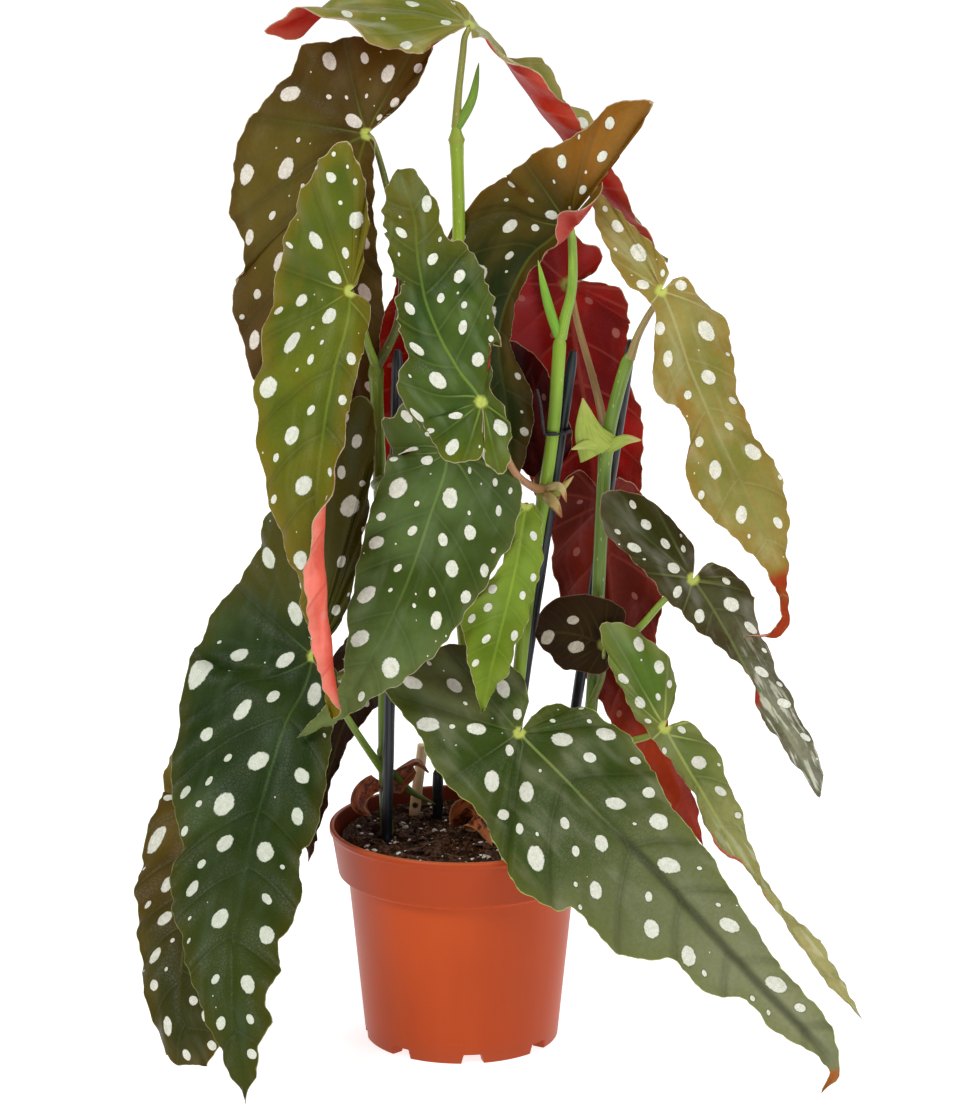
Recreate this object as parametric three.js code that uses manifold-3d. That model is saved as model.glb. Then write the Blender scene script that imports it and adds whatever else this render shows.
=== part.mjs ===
import * as THREE from 'three';
import Module from 'manifold-3d';
import { mergeVertices } from 'three/addons/utils/BufferGeometryUtils.js';

// A polka dot begonia in a 12 cm nursery pot. Millimetres, +Z up.
// The origin is the middle of the pot's underside, and the front of the plant faces -Y.

const wasm = await Module();
wasm.setup();

// Gap kept between pieces that touch
const seatGap = 0.3;

// Pot
const potHeight = 100;
const rimRadius = 60;
const rimBandHeight = 22;
const rimBandFootRadius = 56;
const bodyTopRadius = 51.6;
const footRadius = 44;
const potWall = 1.6;
const floorTop = 6.8;
const footRingInner = 38;
const padRadius = 10;
const footRecess = 5;
const potSegments = 40;
const notchCount = 8;
const notchWidth = 9;
const notchHeight = 4.4;

// Soil
const soilTop = 92;
const soilRoughness = 0.9;
const soilSegments = 28;
const soilRings = [44, 33, 22, 11];

// Canes, stalks, stakes and stick
const caneRadius = 3;
const collarSink = 0.4;
const sheathTip = 0.15;
const sheathThin = 0.45;
const stalkRadius = 2;
const stakeRadius = 2.6;
const stickRadius = 2.2;
const collarRadius = 3.8;
const collarLength = 5;
const rodSides = 7;
const stalkSides = 5;

// Leaf blades
const bladeThickness = 0.8;
const veinSweep = 0.9;
const usualBendWidth = 30;
const waveHeight = 1.6;
const waveLength = 24;
const outlineSteps = 8;
const spineSteps = 16;

// Each cane and stake is a list of points on its centre line, from the root upwards.
const canePaths = {
  cane_left: [
    [-33, 8, 52], [-34, 8, 90], [-35, 9, 127], [-35, 10, 183], [-36, 9, 239], [-37, 8, 276], [-38, 6, 315],
  ],
  cane_middle: [
    [16, 4, 52], [19, 4, 90], [23, 4, 138], [30, 4, 204], [37, 3, 252], [41, 2, 282], [44, 0, 326],
  ],
  cane_right: [
    [42, 7, 52], [48, 6, 89], [57, 5, 135], [61, 5, 194], [63, 5, 240], [65, 4, 275], [70, 2, 300],
    [75, 0, 318],
  ],
  cane_top: [
    [14, 22, 52], [12, 22, 93], [4, 22, 152], [-3, 22, 236], [-4, 18, 311], [-1, 14, 366], [-2, 7, 419],
  ],
};

const stakePaths = {
  stake_left: [[-36, 0, 20], [-28, 0, 319]],
  stake_middle: [[8, 12, 20], [50, 8, 317]],
  stake_right: [[34, 22, 20], [76, 13, 321]],
  stake_back: [[-12, 34, 20], [-11, 34, 115]],
};

const stickPath = [[-24, 37, 50], [-22, 37, 92], [-19, 37, 126]];

// Where old leaf scars make a ring round each cane, as shares of its length
const collarPlaces = {
  cane_left: [0.3, 0.52, 0.97],
  cane_middle: [0.36, 0.73],
  cane_right: [0.5, 0.83],
  cane_top: [0.45, 0.98],
};

// One entry for each leaf. The spine runs from behind the stalk to the tip, and each of its rows
// is x, y, z, the turn about the midrib, and the bend of the left and the right half in degrees.
// left and right are margin points on the flat leaf, from the notch at the stalk to the tip:
// distance along the midrib from the stalk, and distance across it.
const leafShapes = {
  leaf_crown: {
    colour: 'leafOlive',
    bigLobe: 'right',
    lobeVeins: 9,
    sideVeins: 11,
    columns: 2,
    joinsAt: 2,
    bendWidth: 14,
    spine: [
      [-82, -4, 461, -150, 0, 0], [-48, 0, 470, -84, -12, 12], [4, 0, 463, -62, -30, 12],
      [19, 0, 448, -88, 35, 40], [46, 12, 410, -92, 72, 48], [70, 16, 378, -92, 72, 48],
      [92, 14, 356, -92, 60, 40],
    ],
    left: [
      [3, -8], [12, -9], [21, -15], [32, -18], [55, -18], [80, -17], [105, -14], [125, -8],
    ],
    right: [
      [-6, -8], [-22, -22], [-44, -25], [-64, -17], [-80, -8], [-91, 0], [-82, 8], [-67, 15],
      [-45, 27], [-22, 24], [-7, 12], [4, 5], [19, 4], [28, 9], [36, 22], [45, 26], [54, 20], [62, 20],
      [70, 26], [79, 25], [98, 15], [125, 8],
    ],
    stalk: [[-2, 8, 417], [-1, 5, 432], [1, 1, 450], [2, 0, 458], [4, 0, 462]],
  },
  leaf_bronze: {
    colour: 'leafBrown',
    bigLobe: 'left',
    lobeVeins: 9,
    sideVeins: 10,
    columns: 2,
    joinsAt: 1,
    bendWidth: 9,
    spine: [
      [84, -26, 429, -5, -12, 20], [47, -4, 377, 0, -12, 150], [29, 8, 357, 0, -12, 60],
      [17, 14, 325, 0, -12, -12], [20, 11, 294, 0, -12, -12], [24, 8, 256, 0, -12, -12],
    ],
    left: [
      [-25, 0], [-53, -0.8], [-69, -2], [-70, -6], [-59, -16], [-35, -21], [-13, -31], [23, -35],
      [38, -36], [55, -26], [73, -14], [100, -12], [123, -6],
    ],
    right: [
      [-26, 1], [-24, 5], [-19, 12], [-10, 18], [-2, 17], [4, 12], [12, 7], [30, 4], [46, 4],
      [60, 5], [78, 7], [96, 12], [111, 10], [125, 5],
    ],
    stalk: [[44, 1, 324], [46, 1, 333], [49, 1, 346], [49, -1, 368], [48, -3, 375]],
  },
  leaf_left_brown: {
    colour: 'leafBrown',
    bigLobe: 'left',
    lobeVeins: 12,
    sideVeins: 9,
    columns: 3,
    joinsAt: 1,
    spine: [
      [-24, 8, 450, 12, -16, -16], [-41, 2, 415, 12, -16, -16], [-48, 2, 386, 12, -16, -16],
      [-51, 6, 345, 12, -16, -16], [-49, 14, 307, 12, -16, -16], [-43, 22, 270, 12, -16, -16],
    ],
    left: [
      [-7, 4], [-19, 9], [-39, 11], [-49, 7], [-44, -7], [-33, -28], [-22, -44], [-9, -45], [3, -51],
      [13, -57], [30, -59], [45, -58], [66, -49], [79, -56], [98, -54], [120, -47], [136, -30],
    ],
    right: [
      [2, 5], [17, 8], [42, 12], [75, 17], [98, 14], [126, 8],
    ],
    stalk: [[-37, 6, 311], [-32, 6, 320], [-28, 5, 330], [-26, 6, 357], [-32, 6, 389], [-39, 3, 413]],
  },
  leaf_left_olive: {
    colour: 'leafOlive',
    bigLobe: 'left',
    lobeVeins: 10,
    sideVeins: 13,
    columns: 3,
    joinsAt: 1,
    bendWidth: 10,
    spine: [
      [-53, -30, 418, 14, -22, -22], [-48, -24, 350, 14, -22, -22], [-55, -32, 317, 14, -22, -22],
      [-61, -42, 283, 14, -22, 30], [-63, -52, 250, 14, -22, 110], [-60, -56, 210, 14, -22, 150],
      [-56, -58, 166, 14, -22, 150],
    ],
    left: [
      [-3, 3], [-13, 6], [-33, 10], [-49, 10], [-61, 7], [-67, 1], [-54, -13], [-37, -25], [-6, -39],
      [29, -40], [59, -36], [93, -25], [122, -13], [146, -8], [173, -4],
    ],
    right: [
      [2, 5], [6, 9], [23, 10], [40, 10], [70, 11], [112, 17], [140, 17], [170, 13], [186, 7],
    ],
    stalk: [[-38, 6, 311], [-41, -3, 322], [-43, -10, 332], [-47, -22, 347]],
  },
  leaf_centre_crinkled: {
    colour: 'leafDark',
    bigLobe: 'both',
    lobeVeins: 7,
    sideVeins: 9,
    columns: 3,
    joinsAt: 1,
    spine: [
      [15, -62, 282, -6, -22, -22], [9, -54, 307, -6, -22, -22], [-2, -50, 322, -6, -22, -22],
      [-13, -46, 344, -6, -22, -22], [-18, -43, 365, -6, -22, -22], [-20, -39, 386, -6, -22, -22],
      [-27, -32, 405, -6, -22, -22],
    ],
    left: [
      [-17, 2.5], [-29, 3.4], [-31, -4], [-12, -10], [3, -7], [20, -21], [45, -28], [71, -23], [78, -13],
      [93, -10], [105, -7],
    ],
    right: [
      [-13, 2.7], [-24, 5.3], [-23, 15], [-18, 24], [15, 32], [25, 26], [36, 16], [52, 14], [60, 8],
      [77, 14], [99, 11],
    ],
    stalk: [[37, 3, 255], [32, -10, 259], [23, -32, 272], [16, -47, 292], [10, -52, 305]],
  },
  leaf_centre_green: {
    colour: 'leafGreen',
    bigLobe: 'left',
    lobeVeins: 6,
    sideVeins: 9,
    columns: 3,
    joinsAt: 1,
    spine: [
      [-18, -22, 300, 6, -16, -16], [-6, -28, 279, 6, -16, -16], [-14, -30, 249, 6, -16, -16],
      [-25, -34, 218, 6, -16, -16], [-39, -38, 189, 6, -16, -16], [-56, -40, 164, 6, -16, -16],
      [-73, -41, 152, 6, -16, -16],
    ],
    left: [
      [-9, -1], [-28, -4], [-26, -13], [-21, -23], [35, -26], [79, -20], [114, -6], [133, -4],
    ],
    right: [
      [-3, 7], [-1, 19], [4, 30], [12, 36], [29, 38], [58, 31], [87, 23], [108, 13], [123, 6],
    ],
    stalk: [[-37, 8, 254], [-38, -5, 260], [-27, -14, 267], [-7, -26, 277]],
  },
  leaf_lime: {
    colour: 'leafLime',
    bigLobe: 'both',
    lobeVeins: 3,
    sideVeins: 8,
    columns: 2,
    joinsAt: 0,
    spine: [
      [29, -22, 254, -12, -14, -14], [25, -23, 229, -12, -14, -14], [20, -24, 206, -12, -14, -14],
      [14, -26, 182, -12, -14, -14], [9, -28, 160, -12, -14, -14],
    ],
    left: [
      [-1, -4], [14, -4], [34, -9], [54, -19], [66, -15], [83, -7],
    ],
    right: [
      [-1, 3], [6, 8], [21, 11], [47, 11], [73, 8], [86, 4],
    ],
    stalk: [[35, 3, 241], [32, -8, 245], [29, -20, 252]],
  },
  leaf_front_right: {
    colour: 'leafDark',
    bigLobe: 'left',
    lobeVeins: 12,
    sideVeins: 15,
    columns: 3,
    joinsAt: 1,
    spine: [
      [-3, -10, 178, -20, -10, -10], [26, -26, 150, -20, -10, -10], [44, -46, 137, -20, -10, -10],
      [61, -62, 123, -20, -10, -10], [83, -82, 106, -16, -10, -10], [104, -100, 87, -12, -10, -10],
      [130, -118, 63, -8, -10, -10], [159, -132, 34, -4, -10, -10], [155, -138, 22, 0, -10, -10],
    ],
    left: [
      [-8, 13], [-17, 18], [-27, 19], [-40, 16], [-52, 2], [-59, -16], [-56, -31], [-34, -33],
      [-10, -39], [12, -38], [36, -43], [56, -48], [75, -42], [81, -37], [108, -37], [120, -30],
      [130, -20], [149, -20], [164, -9], [179, -10], [191, -7], [204, -3],
    ],
    right: [
      [-2, 9], [2, 23], [21, 31], [44, 34], [80, 25], [102, 23], [129, 18], [164, 12], [192, 11],
      [207, 5],
    ],
    stalk: [[21, 4, 114], [23, -8, 130], [26, -24, 147]],
  },
  leaf_low_left: {
    colour: 'leafDark',
    bigLobe: 'left',
    lobeVeins: 13,
    sideVeins: 13,
    columns: 3,
    joinsAt: 1,
    spine: [
      [-48, -8, 287, 18, -12, -12], [-66, -16, 183, 18, -12, -12], [-78, -32, 156, 18, -12, -12],
      [-88, -52, 127, 18, -12, -12], [-95, -80, 99, 18, -12, -12], [-99, -112, 64, 18, -12, -12],
      [-92, -138, 17, 18, -12, -12],
    ],
    left: [
      [-5, 3], [-19, 10], [-42, 13], [-74, 13], [-106, 11], [-119, 3], [-106, -11], [-83, -25],
      [-56, -34], [-30, -40], [-9, -53], [12, -56], [40, -50], [70, -44], [95, -32], [113, -35],
      [141, -24], [165, -16], [184, -10], [205, -3],
    ],
    right: [
      [1, 7], [7, 14], [36, 22], [60, 26], [82, 27], [97, 23], [120, 27], [142, 21], [158, 22],
      [171, 15], [181, 17], [188, 11], [199, 7],
    ],
    stalk: [[-35, 9, 121], [-44, 1, 137], [-54, -6, 156], [-65, -14, 180]],
  },
  leaf_far_left: {
    colour: 'leafBrown',
    bigLobe: 'left',
    lobeVeins: 7,
    sideVeins: 8,
    columns: 2,
    joinsAt: 1,
    spine: [
      [-112, 8, 134, 22, -14, -14], [-102, -2, 111, 22, -14, -14], [-114, -18, 88, 22, -14, -14],
      [-123, -46, 62, 22, -14, -14], [-124, -68, 34, 22, -14, -14], [-112, -84, 14, 22, -14, -14],
    ],
    left: [
      [-15, -1], [-29, -5], [-33, -22], [-29, -34], [-16, -40], [8, -37], [30, -33], [50, -29], [87, -19],
      [109, -16], [123, -14],
    ],
    right: [
      [-4, 5], [4, 13], [27, 21], [65, 24], [100, 23], [127, 14],
    ],
    stalk: [[-35, 10, 170], [-58, 18, 163], [-87, 8, 134], [-101, -1, 113]],
  },
  leaf_back_brown: {
    colour: 'leafBrown',
    bigLobe: 'both',
    lobeVeins: 4,
    sideVeins: 6,
    columns: 2,
    joinsAt: 0,
    spine: [
      [-40, 30, 176, 18, -14, -14], [-50, 32, 149, 18, -14, -14], [-61, 30, 116, 18, -14, -14],
      [-71, 22, 74, 18, -14, -14],
    ],
    left: [
      [-2, -5], [5, -14], [27, -17], [54, -14], [85, -9],
    ],
    right: [
      [-3, 3], [3, 12], [18, 14], [32, 10], [45, 6], [62, 3.5], [80, 2.5], [97, 2],
    ],
    stalk: [[-35, 10, 202], [-37, 22, 189], [-40, 29, 177]],
  },
  leaf_back_left: {
    colour: 'leafRed',
    bigLobe: 'both',
    lobeVeins: 4,
    sideVeins: 6,
    columns: 2,
    joinsAt: 0,
    spine: [
      [-10, 46, 333, 10, 16, 16], [-21, 44, 310, 10, 16, 16], [-31, 40, 283, 10, 16, 16],
      [-40, 36, 256, 10, 16, 16],
    ],
    left: [
      [-4, -3], [-12, -13], [-14, -25], [9, -19], [22, -22], [46, -18], [68, -11],
    ],
    right: [
      [1, 5], [8, 16], [36, 24], [60, 18], [78, 7],
    ],
    stalk: [[-4, 18, 314], [-6, 34, 324], [-9, 44, 332]],
  },
  leaf_back_red: {
    colour: 'leafRed',
    bigLobe: 'left',
    lobeVeins: 10,
    sideVeins: 8,
    columns: 2,
    joinsAt: 1,
    spine: [
      [44, 26, 369, 0, 12, 12], [48, 36, 342, 0, -30, 12], [52, 48, 309, 0, -30, 12],
      [58, 55, 271, 0, -10, 12], [62, 58, 228, 0, 12, 12], [64, 56, 190, 0, 12, 12],
    ],
    left: [
      [-1.2, 4], [-2.6, 8], [-9, 16], [-15, 16], [-23, 8], [-31, 1], [-24, -19], [-15, -26], [21, -36],
      [39, -36], [77, -32], [121, -23], [146, -11],
    ],
    right: [
      [-1, 7], [1, 17], [8, 24], [19, 26], [38, 23], [57, 22], [68, 25], [84, 24], [105, 21],
      [138, 12],
    ],
    stalk: [[65, 4, 276], [62, 14, 291], [59, 22, 302], [52, 32, 326], [49, 35, 340]],
  },
  leaf_back_maroon: {
    colour: 'leafRed',
    bigLobe: 'both',
    lobeVeins: 3,
    sideVeins: 5,
    columns: 2,
    joinsAt: 0,
    spine: [
      [40, 22, 259, 0, 12, 12], [35, 24, 277, 0, 12, 12], [26, 26, 298, 0, 12, 12],
      [17, 26, 319, 0, 12, 12],
    ],
    left: [
      [-4, -2], [11, -13], [30, -15], [48, -13], [59, -7],
    ],
    right: [
      [-3, 3], [3, 12], [21, 18], [44, 11],
    ],
    stalk: [[37, 3, 254], [34, 12, 256], [36, 20, 258]],
  },
  leaf_right_purple: {
    colour: 'leafRed',
    bigLobe: 'both',
    lobeVeins: 4,
    sideVeins: 9,
    columns: 2,
    joinsAt: 1,
    spine: [
      [65, 28, 258, -8, 16, 16], [65, 32, 242, -8, 16, 16], [67, 34, 210, -8, 16, 16],
      [72, 28, 174, -8, 16, 16], [88, 16, 137, -8, 16, 16], [110, 0, 89, -8, 16, 16],
    ],
    left: [
      [-8, -4], [-18, -12], [-4, -23], [15, -26], [43, -24], [69, -19], [105, -15], [140, -8],
    ],
    right: [
      [-8, 3], [-13, 7], [-2, 17], [30, 24], [51, 23], [77, 15], [117, 6], [146, 5],
    ],
    stalk: [[63, 5, 233], [69, 16, 237], [66, 30, 241]],
  },
  leaf_right_dark: {
    colour: 'leafDark',
    bigLobe: 'left',
    lobeVeins: 9,
    sideVeins: 8,
    columns: 2,
    joinsAt: 1,
    spine: [
      [79, -12, 248, -18, -16, -16], [103, -18, 219, -18, -16, -16], [116, -26, 200, -18, -16, -16],
      [130, -34, 175, -18, -16, -16], [147, -42, 149, -18, -16, -16], [159, -46, 126, -18, -16, -16],
    ],
    left: [
      [-6, 6], [-14, 10], [-36, 8], [-50, 1], [-54, -8], [-42, -17], [-17, -15], [-1, -15], [23, -10],
      [49, 0], [63, -4], [76, -5], [103, -2],
    ],
    right: [
      [-0.8, 5], [-1, 11], [7, 17], [18, 19], [30, 15], [55, 12], [75, 10], [102, 7],
    ],
    stalk: [[60, 5, 177], [78, -4, 191], [91, -12, 208], [102, -17, 218]],
  },
  leaf_right_low: {
    colour: 'leafGreen',
    bigLobe: 'left',
    lobeVeins: 9,
    sideVeins: 10,
    columns: 2,
    joinsAt: 1,
    spine: [
      [75, -14, 185, -16, -22, -22], [91, -24, 152, -16, -22, -22], [107, -34, 126, -16, -22, -22],
      [126, -46, 96, -16, -22, -22], [151, -54, 62, -16, -22, -22], [179, -60, 27, -16, -22, -22],
    ],
    left: [
      [-4, 4], [-12, 12], [-23, 15], [-41, 10], [-54, -4], [-43, -10], [-13, -10], [3, -7], [30, -4],
      [56, -7], [72, -1], [103, -1], [136, -2],
    ],
    right: [
      [0, 4], [3, 11], [17, 15], [48, 11], [72, 5], [97, 3], [117, 7], [137, 4],
    ],
    stalk: [[55, 5, 125], [74, -8, 140], [84, -17, 146], [90, -22, 151]],
  },
  leaf_right_tan: {
    colour: 'leafTan',
    bigLobe: 'left',
    lobeVeins: 9,
    sideVeins: 11,
    columns: 2,
    joinsAt: 1,
    spine: [
      [61, -3, 391, -14, -18, -18], [88, -12, 348, -14, -18, -18], [101, -20, 314, -14, -18, -18],
      [114, -32, 285, -14, -18, -18], [128, -44, 257, -14, -18, -18], [139.5, -53, 224, -14, -18, -18],
      [142, -58, 213, -14, 20, 20], [137, -61, 206, -14, 30, 30], [123, -64, 204.5, -14, 30, 30],
    ],
    left: [
      [-5, 7], [-18, 7], [-38, 2], [-57, -2], [-36, -10], [-12, -12], [7, -7], [40, -18], [52, -11],
      [68, -13], [73, -19], [93, -21], [115, -12], [127, -6], [138, -2.4], [150, -2], [163, -1.8],
    ],
    right: [
      [-0.8, 5], [-1, 12], [9, 15], [22, 23], [35, 21], [57, 15], [77, 15], [98, 17], [120, 11],
      [134, 5.5], [142, 2.6], [152, 2], [164, 1.8],
    ],
    stalk: [[75, 0, 315], [78, -1, 325], [82, -4, 334], [88, -10, 346]],
  },
  leaf_dark_stub: {
    colour: 'leafBrown',
    bigLobe: 'both',
    lobeVeins: 6,
    sideVeins: 5,
    columns: 2,
    joinsAt: 0,
    spine: [
      [64, -7, 186, 0, -12, -12], [52, -8, 190.5, 0, -14, -14], [42, -9, 192, 0, -14, -14],
      [33, -9, 191, 0, -10, -10],
    ],
    left: [
      [-4, -2], [-5, -9], [-4, -17], [3, -19.5], [13, -19], [23, -15], [29, -8],
    ],
    right: [
      [-5, 4], [-6, 9], [-1, 15], [10, 17], [21, 15], [29, 8],
    ],
    stalk: [[58, 5, 154], [63, -1, 168], [64, -6, 180]],
  },
};

// Dry scraps: a fallen leaf on the soil, and old papery sheaths on the left cane
const dryShapes = {
  dry_leaf: {
    colour: 'dryLeaf',
    joinsAt: 0,
    bendWidth: 7,
    lobeVeins: 3,
    sideVeins: 5,
    columns: 2,
    spine: [
      [1, 12, 95.3, 20, 40, 50], [4, 4, 103.3, 10, 60, 40],
      [9, -4, 101.3, -10, 50, 70], [14, -12, 92.3, -30, 20, 30],
    ],
    left: [[1, -5], [9, -9], [18, -7], [25, -4]],
    right: [[1, 5], [8, 10], [17, 9], [25, 4]],
  },
  dry_sheath: {
    colour: 'drySheath',
    joinsAt: 0,
    bendWidth: 6,
    lobeVeins: 2,
    sideVeins: 4,
    columns: 2,
    spine: [
      [-38, 8, 118, 0, 70, 60], [-42, 6, 114, 30, 80, 60],
      [-44, 4, 108, 50, 60, 80], [-42, 3, 102, 60, 30, 40],
    ],
    left: [[1, -4], [8, -7], [17, -6]],
    right: [[1, 4], [9, 6], [18, 5]],
  },
  dry_curl: {
    colour: 'drySheath',
    joinsAt: 0,
    bendWidth: 6,
    lobeVeins: 2,
    sideVeins: 4,
    columns: 2,
    spine: [
      [-32, 11, 111, 0, 40, 40], [-28, 14, 119, 20, 80, 70],
      [-21, 18, 124, 50, 90, 80], [-15, 19, 118, 60, 40, 40],
    ],
    left: [[1, -4], [9, -7], [19, -5]],
    right: [[1, 4], [10, 8], [20, 5]],
  },
};

// Pointed sheaths and buds that grow from a cane: centre line, widest half-width, flatness
const sheaths = {
  cane_left: [
    { path: [[-31, 10, 121], [-24, 18, 110], [-12, 28, 100]], width: 2, flatness: 1 },
  ],
  cane_middle: [
    { path: [[43, 0, 325], [38, -2, 342], [34, -4, 360]], width: 2.6, flatness: 0.6 },
    { path: [[37, 2, 250], [44, -3, 256], [50, -6, 263]], width: 2.4, flatness: 0.8 },
    { path: [[36, 2, 253], [41, -5, 251], [45, -6, 244]], width: 3.4, flatness: 0.4 },
  ],
  cane_right: [
    { path: [[65, 2, 274], [58, -3, 283], [55, -4, 299]], width: 5.5, flatness: 0.22 },
    { path: [[64, 1, 274], [56, -4, 277], [49, -5, 275]], width: 3.6, flatness: 0.3 },
    { path: [[65, 1, 274], [73, -3, 279], [80, -4, 279]], width: 3.4, flatness: 0.5 },
  ],
  cane_top: [
    { path: [[-2, 7, 416], [5, 5, 430], [8, 4, 446]], width: 2.6, flatness: 0.6 },
  ],
};

function toSolid(geometry) {
  const bare = geometry.clone();
  bare.deleteAttribute('normal');
  bare.deleteAttribute('uv');
  const merged = mergeVertices(bare, 1e-4);
  const corners = [];
  const index = merged.index.array;
  for (let i = 0; i < index.length; i += 3) {
    const [a, b, c] = [index[i], index[i + 1], index[i + 2]];
    if (a !== b && b !== c && c !== a) corners.push(a, b, c);
  }
  const positions = Float32Array.from(merged.attributes.position.array);
  const solidOf = (triangles) => new wasm.Manifold(
    new wasm.Mesh({ numProp: 3, vertProperties: positions, triVerts: Uint32Array.from(triangles) }),
  );
  const solid = solidOf(corners);
  if (solid.volume() > 0) return solid;
  const flipped = [];
  for (let i = 0; i < corners.length; i += 3) flipped.push(corners[i], corners[i + 2], corners[i + 1]);
  return solidOf(flipped);
}

function toGeometry(solid) {
  const mesh = solid.getMesh();
  const geometry = new THREE.BufferGeometry();
  geometry.setAttribute('position', new THREE.BufferAttribute(Float32Array.from(mesh.vertProperties), 3));
  geometry.setIndex(new THREE.BufferAttribute(Uint32Array.from(mesh.triVerts), 1));
  geometry.computeVertexNormals();
  return geometry;
}

// The largest separate body of a solid: a cut can leave a sliver behind
function mainBody(solid) {
  const bodies = solid.decompose();
  return bodies.reduce((best, body) => (body.volume() > best.volume() ? body : best));
}

function pathThrough(points) {
  const vectors = points.map((point) => new THREE.Vector3(...point));
  return new THREE.CatmullRomCurve3(vectors);
}

// The same points with both ends moved outwards, for the room cut round a rod
function lengthened(points, extra) {
  const ends = points.map((point) => new THREE.Vector3(...point));
  const last = ends.length - 1;
  const first = ends[0].clone().sub(ends[1]).setLength(extra);
  const final = ends[last].clone().sub(ends[last - 1]).setLength(extra);
  ends[0].add(first);
  ends[last].add(final);
  return ends.map((end) => end.toArray());
}

// A round rod along a curve
function rod(points, radius, sides, steps, extra = 0) {
  const corners = [];
  for (let i = 0; i < sides; i += 1) {
    const angle = (i / sides) * Math.PI * 2;
    const reach = radius + extra;
    corners.push(new THREE.Vector2(Math.cos(angle) * reach, Math.sin(angle) * reach));
  }
  const section = new THREE.Shape(corners);
  const extrudePath = pathThrough(extra > 0 ? lengthened(points, extra) : points);
  return toSolid(new THREE.ExtrudeGeometry(section, { steps, extrudePath }));
}

// A spindle that swells from a blunt foot and closes to a point
function sheath({ path, width, flatness }, extra) {
  const sides = 6;
  const rings = 5;
  const curve = pathThrough(extra > 0 ? lengthened(path, extra) : path);
  const positions = [];
  const index = [];
  const up = new THREE.Vector3(0, 1, 0);
  for (let ring = 0; ring <= rings; ring += 1) {
    const share = ring / rings;
    const centre = curve.getPointAt(share);
    const ahead = curve.getTangentAt(share);
    const across = new THREE.Vector3().crossVectors(ahead, up).normalize();
    const depth = new THREE.Vector3().crossVectors(across, ahead).normalize();
    const swell = 0.72 + 0.9 * share - 1.55 * share ** 2;
    const half = extra + (ring === rings ? sheathTip : width * swell);
    for (let side = 0; side < sides; side += 1) {
      const angle = (side / sides) * Math.PI * 2;
      const corner = centre.clone()
        .addScaledVector(across, Math.cos(angle) * half)
        .addScaledVector(depth, Math.sin(angle) * Math.max(half * flatness, Math.min(half, sheathThin)));
      positions.push(corner.x, corner.y, corner.z);
    }
  }
  for (let ring = 0; ring < rings; ring += 1) {
    for (let side = 0; side < sides; side += 1) {
      const a = ring * sides + side;
      const b = ring * sides + ((side + 1) % sides);
      index.push(a, b, b + sides, a, b + sides, a + sides);
    }
  }
  for (let side = 1; side < sides - 1; side += 1) {
    index.push(0, side + 1, side);
    const last = rings * sides;
    index.push(last, last + side, last + side + 1);
  }
  const geometry = new THREE.BufferGeometry();
  geometry.setAttribute('position', new THREE.Float32BufferAttribute(positions, 3));
  geometry.setIndex(index);
  return toSolid(geometry);
}

// A swollen ring round a cane
function collar(points, share, extra) {
  const curve = pathThrough(points);
  const half = collarLength / 2;
  const profile = [
    new THREE.Vector2(0, -half),
    new THREE.Vector2(caneRadius - collarSink + extra, -half),
    new THREE.Vector2(collarRadius + extra, 0),
    new THREE.Vector2(caneRadius - collarSink + extra, half),
    new THREE.Vector2(0, half),
  ];
  const geometry = new THREE.LatheGeometry(profile, rodSides);
  const ahead = curve.getTangentAt(share);
  const turn = new THREE.Quaternion().setFromUnitVectors(new THREE.Vector3(0, 1, 0), ahead);
  geometry.applyQuaternion(turn);
  geometry.translate(...curve.getPointAt(share).toArray());
  return toSolid(geometry);
}

// A point on the smooth curve through rows of numbers, at place t counted in rows
function alongRows(rows, t) {
  const last = rows.length - 1;
  const at = Math.min(Math.max(t, 0), last);
  const i = Math.min(Math.floor(at), last - 1);
  const f = at - i;
  const p1 = rows[i];
  const p2 = rows[i + 1];
  const p0 = rows[i - 1] ?? p1.map((value, n) => 2 * value - p2[n]);
  const p3 = rows[i + 2] ?? p2.map((value, n) => 2 * value - p1[n]);
  return p1.map((value, n) => {
    const slopeIn = (p2[n] - p0[n]) / 2;
    const slopeOut = (p3[n] - value) / 2;
    return (2 * f ** 3 - 3 * f ** 2 + 1) * value + (f ** 3 - 2 * f ** 2 + f) * slopeIn
      + (3 * f ** 2 - 2 * f ** 3) * p2[n] + (f ** 3 - f ** 2) * slopeOut;
  });
}

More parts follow.
